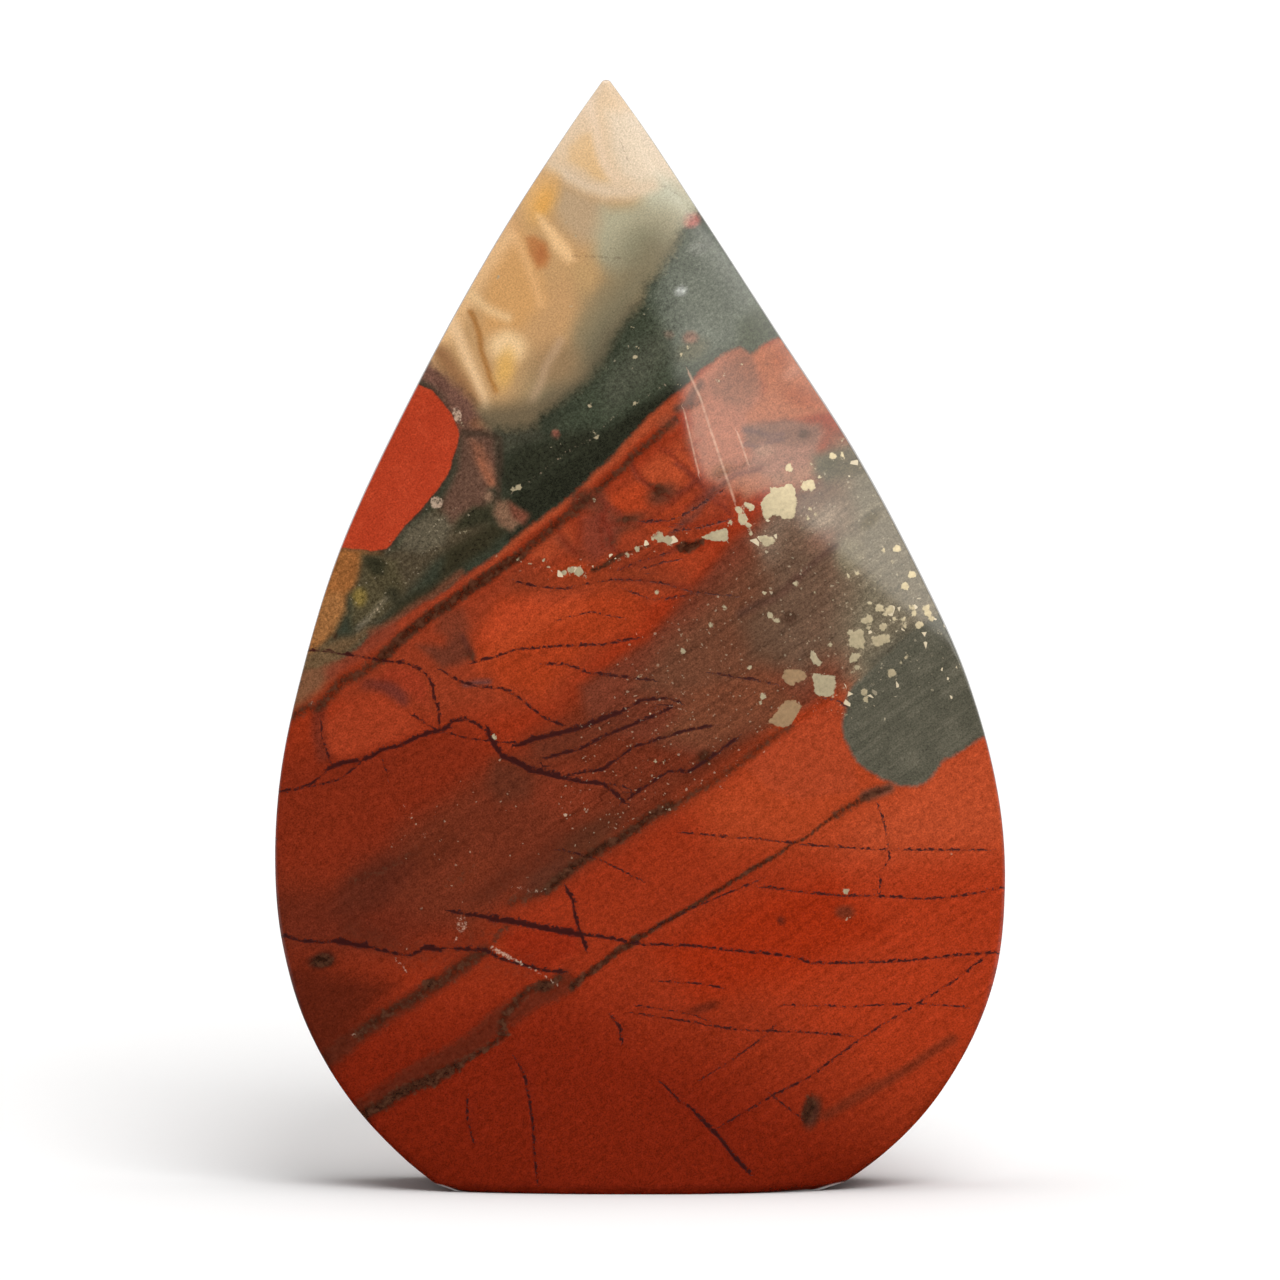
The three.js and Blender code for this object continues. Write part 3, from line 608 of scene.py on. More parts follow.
# Milky flecks and threads of quartz, most of them beside the cracks
QUARTZ_FLECKS = (
    Spot(None, (462, 925), (7, 10), 0, 5, 0.55),
    Streak(None, 3, 2, ((456, 936), (455, 944)), 0.7),
    Streak(None, 3, 2, ((394, 957), (400, 963), (409, 972)), 0.7),
    Streak(None, 3, 2, ((401, 944), (406, 950)), 0.6),
    Streak(None, 6, 3, ((493, 948), (503, 954), (512, 959)), 0.75),
    Streak(None, 4, 2, ((512, 959), (522, 965)), 0.8),
    Streak(None, 3, 2, ((526, 966), (540, 973), (550, 980), (560, 987)), 0.7),
    Streak(None, 3, 4, ((674, 378), (650, 394), (632, 406), (612, 420), (596, 437), (580, 446), (564, 454),
        (548, 466), (534, 478), (520, 488), (504, 500)), 0.6),
    Streak(None, 4, 4, ((386, 600), (376, 610), (366, 620), (352, 632)), 0.55),
    Spot(None, (458, 415), (5, 9), -10, 3, 0.75),
    Spot(None, (436, 503), (7, 7), 0, 4, 0.8),
    Spot(None, (312, 700), (9, 5), 0, 8, 0.4),
    Streak(None, 5, 4, ((512, 888), (530, 891), (548, 890)), 0.5),
    Streak(None, 4, 3, ((352, 1035), (356, 1034)), 0.6),
    Streak(None, 3, 2, ((620, 962), (628, 956)), 0.5),
    Streak(None, 4, 3, ((664, 703), (674, 707), (690, 710)), 0.5),
    Streak(None, 4, 5, ((399, 798), (405, 806), (412, 814)), 0.42),
    Streak(None, 5, 6, ((424, 832), (430, 844), (436, 856)), 0.45),
    Streak(None, 3, 2, ((300, 866), (312, 858)), 0.4),
)

# Where the stone has pale mineral dust, stripes along its beds and clusters of small crystals
DUST_MARKS = (
    Patch(None, 40, ((850, 430), (940, 450), (990, 600), (960, 690), (850, 710), (780, 740), (700, 800),
        (560, 860), (560, 760), (640, 640), (740, 550), (800, 500))),
    Streak(None, 14, 14, ((685, 540), (640, 550), (560, 572), (510, 560)), 0.9),
    Patch(None, 40, ((380, 820), (560, 720), (640, 700), (560, 860), (440, 930)), 0.35),
    Patch(None, 20, ((700, 230), (690, 300), (600, 420), (520, 500), (560, 420), (640, 300)), 0.25),
    Patch(None, 12, ((400, 530), (440, 504), (470, 500), (480, 515), (440, 550), (400, 600), (360, 640),
        (350, 600), (368, 566)), 0.8),
)
STRIPED_MARKS = (
    Patch(None, 90, ((760, 860), (1060, 800), (1060, 1100), (860, 1160), (680, 1080))),
    Patch(None, 80, ((480, 600), (720, 480), (700, 620), (480, 760)), 0.7),
    Patch(None, 60, ((560, 900), (840, 760), (900, 800), (700, 950)), 0.6),
)
GRAIN_MARKS = (
    Patch(None, 20, ((858, 640), (870, 610), (905, 596), (950, 590), (955, 625), (920, 632), (880, 645)),
        0.3),
    Patch(None, 14, ((735, 505), (765, 500), (775, 540), (762, 552), (745, 540)), 0.35),
    Patch(None, 20, ((826, 448), (860, 436), (880, 470), (850, 475)), 0.4),
    Patch(None, 30, ((850, 640), (960, 620), (960, 690), (870, 720), (845, 700)), 0.12),
    Streak(None, 10, 12, ((690, 530), (640, 548), (575, 574), (530, 565)), 0.3),
)

# Single colours of the smaller zones, streaks and inclusions
PEBBLE_BASE = (163, 56, 31)
PEBBLE_LIGHT = (174, 64, 37)
PEBBLE_RIM = (84, 46, 36)
BLOB_BASE = (76, 74, 62)
BLOB_LIGHT = (98, 94, 80)
STREAK_BROWN = (72, 34, 21)
STREAK_DARK = (34, 18, 9)
STREAK_GREY = (82, 50, 34)
CRACK_DARK = (54, 3, 0)
# Pale colour of the lines of painted highlight
PAINTED_GLINT_PALE = (200, 158, 132)
QUARTZ_PALE = (198, 170, 146)
DUST_PALE = (206, 190, 160)
PYRITE_PALE = (186, 171, 138)
PYRITE_TAN = (172, 140, 104)

# The polish: how metallic the pyrite is, how the stone bends light, and how deep the cracks are in metres
PYRITE_METALLIC = 0.3
QUARTZ_IOR = 1.54
CRACK_DEPTH = 0.00006
CRACK_RELIEF = 0.25

# Distance in millimetres at which a crack or a line of painted highlight is cut off, and under which it is
# drawn in full
LINE_END = (0.9, 0.6)

# Grain of the stone: scale for each millimetre, detail and roughness, from the finest to the widest
FINE_NOISE = (5.6, 1.0, 0.5)
GRAIN_NOISE = (3.0, 3.0, 0.65)
RAGGED_NOISE = (2.4, 4.0, 0.65)
MOTTLE_NOISE = (1.3, 4.0, 0.6)
CLOUD_NOISE = (0.35, 3.0, 0.55)
STRIPE_NOISE = (1.0, 4.0, 0.65)
FIBRE_NOISE = (1.0, 3.0, 0.6)
# The stripes and fibres are this noise drawn out along the beds: shares along, over and behind them
STRIPE_STRETCH = (0.09, 1.5, 0.35)
FIBRE_STRETCH = (0.5, 3.6, 1.5)

# Layers of pale specks: cells for each millimetre, the least gap round a speck, how much the gap varies,
# how many cells hold one where there is dust and where there are grains, and how strong it shows
SPECK_LAYERS = (
    (3.7, 0.1, 0.32, 0.12, 0, 0.26),
    (1.9, 0.18, 0.34, 0.035, 0, 0.5),
    (1.25, 0.05, 0.3, 0, 1, 0.95),
)

# The stage, in millimetres
FLOOR_SIZE = 24000
# The floor's height at distances behind the stone's middle: flat under it, then a gentle rise
FLOOR_PROFILE = ((-12000, 0), (20, 0), (40, 0.6), (80, 3.6), (160, 10.6), (12000, 1046))
KEY_LIGHT_PLACE = (300, -1000, 890)
KEY_LIGHT_SPREAD = 34
TOP_LIGHT_PLACE = (120, 0, 1500)
TOP_LIGHT_SPREAD = 70
SOFTBOX_PLACE = (517, -411, 519)
SOFTBOX_FACING = (-0.837, 0.547, 0)
SOFTBOX_TINT = (1, 0.96, 0.86)
# The softbox leans by this many degrees, so its image in the polish lies level with the camera
SOFTBOX_TILT = -5
SOFTBOX_SIZE = (1266, 394)
# Its glow fades upwards by a share, and its side edge gets softer on the way up
SOFTBOX_RISE = (0.15, 0.7)
SOFTBOX_FADED = 0.4
SOFTBOX_EDGE = 0.01
SOFTBOX_SIDE = 1.0
# What the polish mirrors of the room: a bright ceiling and a dim wall beside and behind the stone, leaning
# by the tilt in degrees. Each edge gives where it begins and where it is full, as directions from -1 to 1.
ROOM_TILT = 5
CEILING_EDGE = (0.45, 0.75)
CEILING_REFLECTION = 1.8
WALL_EDGE = (-0.5, 0.1)
WALL_FOOT = (-0.45, -0.2)
WALL_REFLECTION = 0.6
# How bright the room looks above the far edge of the floor, as in a side view
SKY_SEEN = 1.0
ROOM_TINT = (1, 0.98, 0.96, 1)


# Curves, noise and distances

def curve_of(pairs):
    """A smooth curve through the pairs. Its slope at a point is the mean of the slopes beside it."""
    places = np.array([pair[0] for pair in pairs], float)
    values = np.array([pair[1] for pair in pairs], float)
    runs = np.diff(values) / np.diff(places)
    slopes = np.concatenate((runs[:1], (runs[1:] + runs[:-1]) / 2, runs[-1:]))

    def curve(at):
        span = np.clip(np.searchsorted(places, at, side="right") - 1, 0, len(places) - 2)
        width = places[span + 1] - places[span]
        t = (np.clip(at, places[0], places[-1]) - places[span]) / width
        rise = t * t * (3 - 2 * t)
        bend = t * (1 - t) * ((1 - t) * slopes[span] - t * slopes[span + 1])
        return values[span] * (1 - rise) + values[span + 1] * rise + width * bend

    return curve


left_edge = curve_of(LEFT_EDGE)
right_edge = curve_of(RIGHT_EDGE)
half_depth = curve_of(HALF_DEPTH)


def smooth(value, low, high):
    """0 below low, 1 above high and a soft step between them."""
    t = np.clip((value - low) / (high - low), 0, 1)
    return t * t * (3 - 2 * t)


def wander(places, size, seed):
    """Seeded values from -1 to 1 that change smoothly over about that size."""
    lattice = np.random.default_rng(seed).uniform(-1, 1, (LATTICE_CELLS,) * 3)
    scaled = places / size
    corner = np.floor(scaled).astype(int)
    t = scaled - corner
    t = t * t * (3 - 2 * t)
    total = np.zeros(len(places))
    for step in np.ndindex(2, 2, 2):
        weight = np.prod(np.where(np.array(step) == 1, t, 1 - t), axis=1)
        at = (corner + step) % LATTICE_CELLS
        total += weight * lattice[at[:, 0], at[:, 1], at[:, 2]]
    return total


def line_distance(places, line):
    """Distance of each place to a line of points, and on which side of it the place lies."""
    line = np.array(line, float)
    start, step = line[:-1], np.diff(line, axis=0)
    rel = places[:, None, :] - start
    share = np.clip((rel * step).sum(2) / (step ** 2).sum(1), 0, 1)
    gaps = ((rel - share[..., None] * step) ** 2).sum(2)
    nearest = gaps.argmin(1)
    rows = np.arange(len(places))
    cross = step[nearest, 0] * rel[rows, nearest, 1] - step[nearest, 1] * rel[rows, nearest, 0]
    return np.sqrt(gaps[rows, nearest]), np.where(cross < 0, -1.0, 1.0)


def patch_distance(places, outline):
    """Distance of each place to a closed outline, positive inside it."""
    ring = np.array(outline + outline[:1], float)
    start, end = ring[:-1], ring[1:]
    x, y = places[:, :1], places[:, 1:]
    spans = (start[:, 1] > y) != (end[:, 1] > y)
    rise = np.where(end[:, 1] == start[:, 1], 1, end[:, 1] - start[:, 1])
    crossing = start[:, 0] + (y - start[:, 1]) * (end[:, 0] - start[:, 0]) / rise
    inside = (spans & (x < crossing)).sum(1) % 2 == 1
    gap, _side = line_distance(places, ring)
    return np.where(inside, gap, -gap)


def near(places, points, reach):
    """Indices of the places within reach of the box around some points."""
    points = np.array(points, float)
    low, high = points.min(0) - reach, points.max(0) + reach
    return np.flatnonzero(((places > low) & (places < high)).all(1))


# The solid form, in millimetres

Level = namedtuple("Level", "middle half_width bulge bevel face_half depth")


def level_at(height):
    """The stone's cross-section at a height, or at many."""
    left, right = left_edge(height), right_edge(height)
    half = (right - left) / 2
    tip_half = np.sqrt(np.maximum(TIP_RADIUS ** 2 - (height - TIP_CENTRE) ** 2, 0))
    above = height > TIP_CENTRE + TIP_TOUCH * TIP_RADIUS
    rounded = np.where(above, np.minimum(half, tip_half), half)
    base_cut = np.maximum(BASE_BEVEL - height, 0)
    half_width = rounded - base_cut
    bulge = half_width * RIM_BULGE
    fade = np.exp(-height / BEVEL_FADE_HEIGHT)
    bevel = np.minimum(BEVEL_AT_TIP + (BEVEL_AT_BASE - BEVEL_AT_TIP) * fade, half_width / 3)
    depth = half_depth(height) * rounded / half - base_cut
    return Level((left + right) / 2, half_width, bulge, bevel, half_width - bulge - bevel, depth)


def rim_depth(level, share):
    """Half depth of the rim at a share of the face's width, from -1 at the left to 1."""
    return level.depth * (RIM_SHARE_LEFT + (RIM_SHARE_RIGHT - RIM_SHARE_LEFT) * (share + 1) / 2)


def face_depth(level, share):
    """Half depth of the stone at a share of the face's width."""
    edge = rim_depth(level, share) + level.bevel * BEVEL_SLOPE
    return edge + np.maximum(level.depth - edge, 0) * (1 - np.abs(share) ** CROWN_POWER)


def depth_over(across, height):
    """Half depth of the stone at places seen from the front."""
    level = level_at(height)
    share = np.clip((across - level.middle) / np.maximum(level.face_half, 1e-6), -1, 1)
    return face_depth(level, share)


def outline_heights(edge):
    """Heights along one side from the base to just under the tip, in steps that shrink at the tip."""
    below = np.linspace(0, TIP_CENTRE, OUTLINE_SAMPLES)
    heights = np.concatenate((below, np.linspace(TIP_CENTRE, HEIGHT, TIP_SAMPLES)[1:]))
    level = level_at(heights)
    across = level.middle + edge * level.half_width
    full = smooth(HEIGHT - heights, 0, OUTLINE_TIP_ZONE)
    step = OUTLINE_STEP * (OUTLINE_TIP_SHARE + (1 - OUTLINE_TIP_SHARE) * full)
    lengths = np.hypot(np.diff(across), np.diff(heights)) / ((step[1:] + step[:-1]) / 2)
    along = np.concatenate(([0], np.cumsum(lengths)))
    count = int(along[-1])
    return np.interp(np.arange(count) * along[-1] / count, along, heights)


def rim_points(edge, heights):
    """Points round the rim at each height, from the front face's edge to the back face's edge."""
    level = level_at(heights)
    columns = [(level.face_half, -face_depth(level, np.float64(edge)))]
    for share in np.linspace(1, -1, RIM_STEPS + 1):
        out = level.half_width - level.bulge * share ** 2
        columns.append((out, -rim_depth(level, edge) * share))
    columns.append((level.face_half, face_depth(level, np.float64(edge))))
    points = [np.stack((level.middle + edge * out, deep, heights), 1) for out, deep in columns]
    return np.stack(points, 1)


def grid_inside(outline, pitch, clearance):
    """Points in offset rows that keep clear of an outline."""
    low, high = outline.min(0), outline.max(0)
    rows = []
    for index, row in enumerate(np.arange(low[1], high[1], pitch * math.sqrt(3) / 2)):
        across = np.arange(low[0] + pitch / 2 * (index % 2), high[0], pitch)
        rows.append(np.stack((across, np.full(len(across), row)), 1))
    places = np.concatenate(rows)
    return places[clearance(places[:, 0], places[:, 1]) > pitch * EDGE_GAP]


def face_clearance(across, height):
    """Distance from a place on the front or back to the edge of that face."""
    level = level_at(height)
    beside = level.face_half - np.abs(across - level.middle)
    return np.minimum(beside, np.minimum(height, HEIGHT - height))


def base_clearance(across, deep):
    """Distance from a place on the base to the edge of the base."""
    level = level_at(np.float64(0))
    share = np.clip((across - level.middle) / level.face_half, -1, 1)
    beside = level.face_half - np.abs(across - level.middle)
    return np.minimum(beside, face_depth(level, share) - np.abs(deep))


def filled(outline, inner):
    """Triangles between an outline and the points inside it. Indices count the outline first."""
    places = np.concatenate((outline, inner))
    ring = list(range(len(outline)))
    found = delaunay_2d_cdt([Vector(place) for place in places], [], [ring], 1, 1e-6, True)
    source = np.array([origin[0] for origin in found[3]])
    triangles = source[np.array(found[2])]
    # Triangles that bridge a hollow of the outline lie outside it
    bridging = np.flatnonzero((triangles < len(outline)).all(1))
    middles = places[triangles[bridging]].mean(1)
    outside = patch_distance(middles, tuple(map(tuple, outline))) < 0
    return np.delete(triangles, bridging[outside], axis=0)


class Skin:
    """The points and faces of the stone's mesh, and its flat layout in three islands.

    The front and the back lie flat as they are seen, each with its half of the rim folded out.
    """

    def __init__(self, pitch):
        self.points, self.flat, self.faces = [], [], []
        self.count = 0
        left = self.add_rim(-1)
        right = self.add_rim(1)
        top = level_at(np.float64(HEIGHT))
        self.tip = self.add(np.array([[float(top.middle), 0, HEIGHT]]))[0]
        front_row = self.add(base_row(-1))
        back_row = self.add(base_row(1))
        self.band(left, -1)
        self.band(right, 1)
        front = np.concatenate((left[::-1, 0], front_row, right[:, 0], [self.tip]))
        back = np.concatenate((left[::-1, -1], back_row, right[:, -1], [self.tip]))
        under = np.concatenate((left[0, ::-1], front_row, right[0], back_row[::-1]))
        self.fill("front", front, (0, 2), pitch, face_clearance, lambda x, z: -depth_over(x, z))
        self.fill("back", back, (0, 2), BACK_PITCH, face_clearance, depth_over)
        self.fill("base", under, (0, 1), BASE_PITCH, base_clearance, lambda x, y: 0 * x)
        self.points = np.concatenate(self.points)
        self.flat = np.concatenate(self.flat)

    def add(self, points, flat=None):
        """Keeps points and returns their indices in the same arrangement."""
        indices = self.count + np.arange(points[..., 0].size).reshape(points.shape[:-1])
        self.points.append(points.reshape(-1, 3))
        self.flat.append((points[..., [0, 2]] if flat is None else flat).reshape(-1, 2))
        self.count += indices.size
        return indices

    def add_rim(self, edge):
        """The rows of points up one side. Their flat places lie outside the face's outline."""
        points = rim_points(edge, outline_heights(edge))
        outline = points[:, 0][:, [0, 2]]
        along = np.gradient(outline, axis=0)
        outward = np.stack((edge * along[:, 1], -edge * along[:, 0]), 1)
        outward /= np.linalg.norm(outward, axis=1, keepdims=True)
        gaps = np.linalg.norm(np.diff(points, axis=1), axis=2)
        reach = np.concatenate((np.zeros((len(points), 1)), np.cumsum(gaps, axis=1)), axis=1)
        reach = np.minimum(reach, reach[:, -1:] - reach) * RIM_FLAT_SHARE
        return self.add(points, outline[:, None] + outward[:, None] * reach[..., None])

    def band(self, ring, edge):
        """The quads up one side, half of them in each island, closed over the tip."""
        low, high = ring[:-1], ring[1:]
        quads = np.stack((low[:, :-1], low[:, 1:], high[:, 1:], high[:, :-1]), -1)
        top = ring[-1]
        fan = np.stack((top[:-1], top[1:], np.full(len(top) - 1, self.tip)), -1)
        half = quads.shape[1] // 2
        for island, part in (("front", slice(None, half)), ("back", slice(half, None))):
            self.faces.append((island, quads[:, part].reshape(-1, 4)[:, ::edge]))
            self.faces.append((island, fan[part][:, ::edge]))

    def fill(self, island, ring, axes, pitch, clearance, place):
        """One face of the stone: its outline is there already, and its inside is filled."""
        outline = np.concatenate(self.points)[ring][:, axes]
        inner = grid_inside(outline, pitch, clearance)
        third = place(inner[:, 0], inner[:, 1])
        columns = (inner[:, 0], third, inner[:, 1]) if axes == (0, 2) else (inner[:, 0], inner[:, 1], third)
        inside = self.add(np.stack(columns, 1))
        triangles = np.concatenate((ring, inside))[filled(outline, inner)]
        self.faces.append((island, triangles if island == "front" else triangles[:, ::-1]))

    def layout(self):
        """The flat place of every corner of every face, from 0 to 1."""
        corners = []
        for island, faces in self.faces:
            chosen = faces.reshape(-1)
            if island == "front":
                corners.append(self.flat[chosen] + FRONT_ISLAND)
            elif island == "back":
                corners.append(LAYOUT_SIZE - self.flat[chosen] - FRONT_ISLAND)
            else:
                corners.append(self.points[chosen][:, :2] + BASE_ISLAND)
        return np.concatenate(corners) / LAYOUT_SIZE


def base_row(side):
    """The lower edge of one face, without its ends, from left to right."""
    level = level_at(np.float64(0))
    steps = int(2 * level.face_half / OUTLINE_STEP)
    share = np.linspace(-1, 1, steps + 1)[1:-1]
    return np.stack((level.middle + level.face_half * share, side * face_depth(level, share), 0 * share), 1)


# Where the markings fall on the skin

def camera_axes():
    """The camera's place and its right, up and forward directions, in millimetres."""
    tilt = math.radians(CAMERA_ELEVATION)
    forward = np.array((0, math.cos(tilt), -math.sin(tilt)))
    up = np.array((0, math.sin(tilt), math.cos(tilt)))
    return np.array(CAMERA_TARGET) - CAMERA_DISTANCE * forward, np.array((1.0, 0, 0)), up, forward


def image_places(points):
    """Places in the image of points in millimetres, in pixels."""
    place, right, up, forward = camera_axes()
    rel = points - place
    scale = FOCAL_PIXELS / (rel @ forward)
    middle = IMAGE_SIZE / 2
    return np.stack((middle + scale * (rel @ right), middle - scale * (rel @ up)), 1)


class Markings:
    """The skin's points as places in the image, drifting with the beds behind the front face."""

    def __init__(self, points):
        across, deep, up = points.T
        self.deep = np.maximum(deep + depth_over(across, up), 0)
        sway = BED_WANDER * smooth(self.deep, 0, BED_WANDER_DEPTH)
        shift = [wander(points + BED_WAVE_START, BED_WANDER_LENGTH, seed) * sway for seed in BED_SEEDS]
        across = across + BED_DRIFT[0] * self.deep + shift[0]
        up = up + BED_DRIFT[1] * self.deep + shift[1]
        front = -depth_over(across, np.clip(up, 0, HEIGHT))
        self.places = image_places(np.stack((across, front, up), 1))
        slope = math.radians(BED_SLOPE)
        along = across * math.cos(slope) + up * math.sin(slope)
        over = up * math.cos(slope) - across * math.sin(slope)
        self.beds = np.stack((along, over, self.deep), 1)
        sizes = np.concatenate((self.places, self.deep[:, None] * PIXELS_PER_MM), 1)
        wide = [WIDE_RAGGED[0] * wander(sizes, WIDE_RAGGED[1], seed) for seed in WIDE_SEEDS]
        fine = [FINE_RAGGED[0] * wander(sizes, FINE_RAGGED[1], seed) for seed in FINE_SEEDS]
        self.ragged = self.places + np.stack(wide, 1) + np.stack(fine, 1)

    def cover(self, mark):
        """Indices of the places that a mark reaches, and how far it covers them, from 0 to 1."""
        if isinstance(mark, Spot):
            turn = math.radians(mark.turn)
            radii = np.array(mark.radii, float)
            chosen = near(self.ragged, (mark.centre,), radii.max() + mark.blur)
            rel = self.ragged[chosen] - mark.centre
            axes = np.array(((math.cos(turn), -math.sin(turn)), (math.sin(turn), math.cos(turn))))
            inside = (1 - np.linalg.norm(rel @ axes / radii, axis=1)) * radii.min()
            if radii.min() < SMALL_MARK:
                inside -= self.deep[chosen] * SMALL_MARK_TAPER
        elif isinstance(mark, Streak):
            chosen = near(self.ragged, mark.points, mark.width + mark.blur)
            gap, _side = line_distance(self.ragged[chosen], mark.points)
            inside = mark.width / 2 - gap
        else:
            chosen = near(self.ragged, mark.points, mark.blur)
            inside = patch_distance(self.ragged[chosen], mark.points)
        return chosen, mark.strength * smooth(inside, -mark.blur / 2, mark.blur / 2)

    def colours(self, base, marks):
        """Colours of one zone: a base with marks laid over it in their order."""
        painted = np.tile(np.array(base, float), (len(self.places), 1))
        for mark in marks:
            chosen, cover = self.cover(mark)
            painted[chosen] += (np.array(mark.colour) - painted[chosen]) * cover[:, None]
        return painted

    def covered(self, marks):
        """How far the strongest of some marks covers each place."""
        total = np.zeros(len(self.places))
        for mark in marks:
            chosen, cover = self.cover(mark)
            total[chosen] = np.maximum(total[chosen], cover)
        return total

    def zone(self, outline):
        """Distance inside a zone in millimetres."""
        return patch_distance(self.ragged, outline) / PIXELS_PER_MM

    def crystals(self, outlines, grains=()):
        """Distance inside the nearest of some crystals and round grains, in millimetres."""
        places = self.places
        inside = np.full(len(places), -CRYSTAL_REACH)
        for outline in outlines:
            chosen = near(places, outline, CRYSTAL_REACH)
            inside[chosen] = np.maximum(inside[chosen], patch_distance(places[chosen], outline))
        for across, down, radius in grains:
            chosen = near(places, ((across, down),), CRYSTAL_REACH)
            gap = np.linalg.norm(places[chosen] - (across, down), axis=1)
            inside[chosen] = np.maximum(inside[chosen], radius - gap)
        return inside / PIXELS_PER_MM - self.deep * CRYSTAL_TAPER

    def cracks(self, cracks):
        """For each place the signed distance, the distance and the width of the nearest crack or line of
        painted highlight, in pixels.
        """
        count = len(self.places)
        found = np.tile((CRACK_REACH, CRACK_REACH, 1.0), (count, 1))
        for crack in cracks:
            chosen = near(self.places, crack.points, CRACK_REACH)
            gap, side = line_distance(self.places[chosen], crack.points)
            closer = gap < found[chosen, 1]
            chosen, gap, side = chosen[closer], gap[closer], side[closer]
            found[chosen] = np.stack((gap * side, gap, np.full(len(gap), crack.width)), 1)
        return found


def crack_layers(cracks):
    """Shares the cracks out so that no two in a layer come near each other."""
    dotted = []
    for crack in cracks:
        points = np.array(crack.points, float)
        steps = np.linspace(0, len(points) - 1, CRACK_DOTS * len(points))
        places = [np.interp(steps, np.arange(len(points)), points[:, axis]) for axis in (0, 1)]
        dotted.append(np.stack(places, 1))
    layers = []
    for index, dots in enumerate(dotted):
        for layer in layers:
            others = np.concatenate([dotted[other] for other in layer])
            if np.linalg.norm(dots[:, None] - others, axis=2).min() > CRACK_CLEARANCE:
                layer.append(index)
                break
        else:
            layers.append([index])
    return [[cracks[index] for index in layer] for layer in layers]


def linear(colour):
    """Light of a colour given as 0 to 255 on screen."""
    value = np.clip(np.asarray(colour, float) / 255, 0, 1)
    return np.where(value <= 0.04045, value / 12.92, ((value + 0.055) / 1.055) ** 2.4)


def keep_attribute(mesh, name, kind, values):
    """Stores one vector or colour for each point of a mesh."""
    attribute = mesh.attributes.new(name, kind, "POINT")
    part = "vector"
    if kind == "FLOAT_COLOR":
        part = "color"
        values = np.concatenate((values, np.ones((len(values), 1))), 1)
    attribute.data.foreach_set(part, values.astype(np.float32).ravel())


def mark_skin(mesh, points, tones):
    """Stores the colours, zones, streaks, crystals and cracks of the stone on its mesh, and its lines of
    painted highlight.
    """
    marks = Markings(points)
    keep_attribute(mesh, "beds", "FLOAT_VECTOR", marks.beds)
    for name, painted in (("chalcedony", CHALCEDONY_MARKS), ("green", GREEN_MARKS), ("red", RED_MARKS)):
        keep_attribute(mesh, name, "FLOAT_COLOR", linear(marks.colours(tones[name], painted)))
    zones = [marks.zone(outline) for outline in (CHALCEDONY_ZONE, GREEN_ZONE, PEBBLE_ZONE, BLOB_ZONE)]
    keep_attribute(mesh, "zones", "FLOAT_VECTOR", np.stack(zones[:3], 1))
    streaks = [marks.covered(group) for group in (DARK_STREAKS, BROWN_STREAKS, QUARTZ_FLECKS)]
    keep_attribute(mesh, "streaks", "FLOAT_VECTOR", np.stack(streaks, 1))
    pyrite = [marks.crystals(PALE_CRYSTALS, PALE_GRAINS), marks.crystals(TAN_CRYSTALS)]
    keep_attribute(mesh, "inclusions", "FLOAT_VECTOR", np.stack((*pyrite, zones[3]), 1))
    texture = [marks.covered(group) for group in (DUST_MARKS, STRIPED_MARKS, GRAIN_MARKS)]
    keep_attribute(mesh, "texture", "FLOAT_VECTOR", np.stack(texture, 1))
    layers = crack_layers(CRACKS)
    for index, layer in enumerate(layers):
        keep_attribute(mesh, f"cracks {index}", "FLOAT_VECTOR", marks.cracks(layer) / PIXELS_PER_MM)
    # Distances to the lines of painted highlight, the mirrored edge of a bright light
    scratches = marks.cracks(PAINTED_GLINT_LINES) / PIXELS_PER_MM
    keep_attribute(mesh, "scratches", "FLOAT_VECTOR", scratches)
    return len(layers)


# Materials

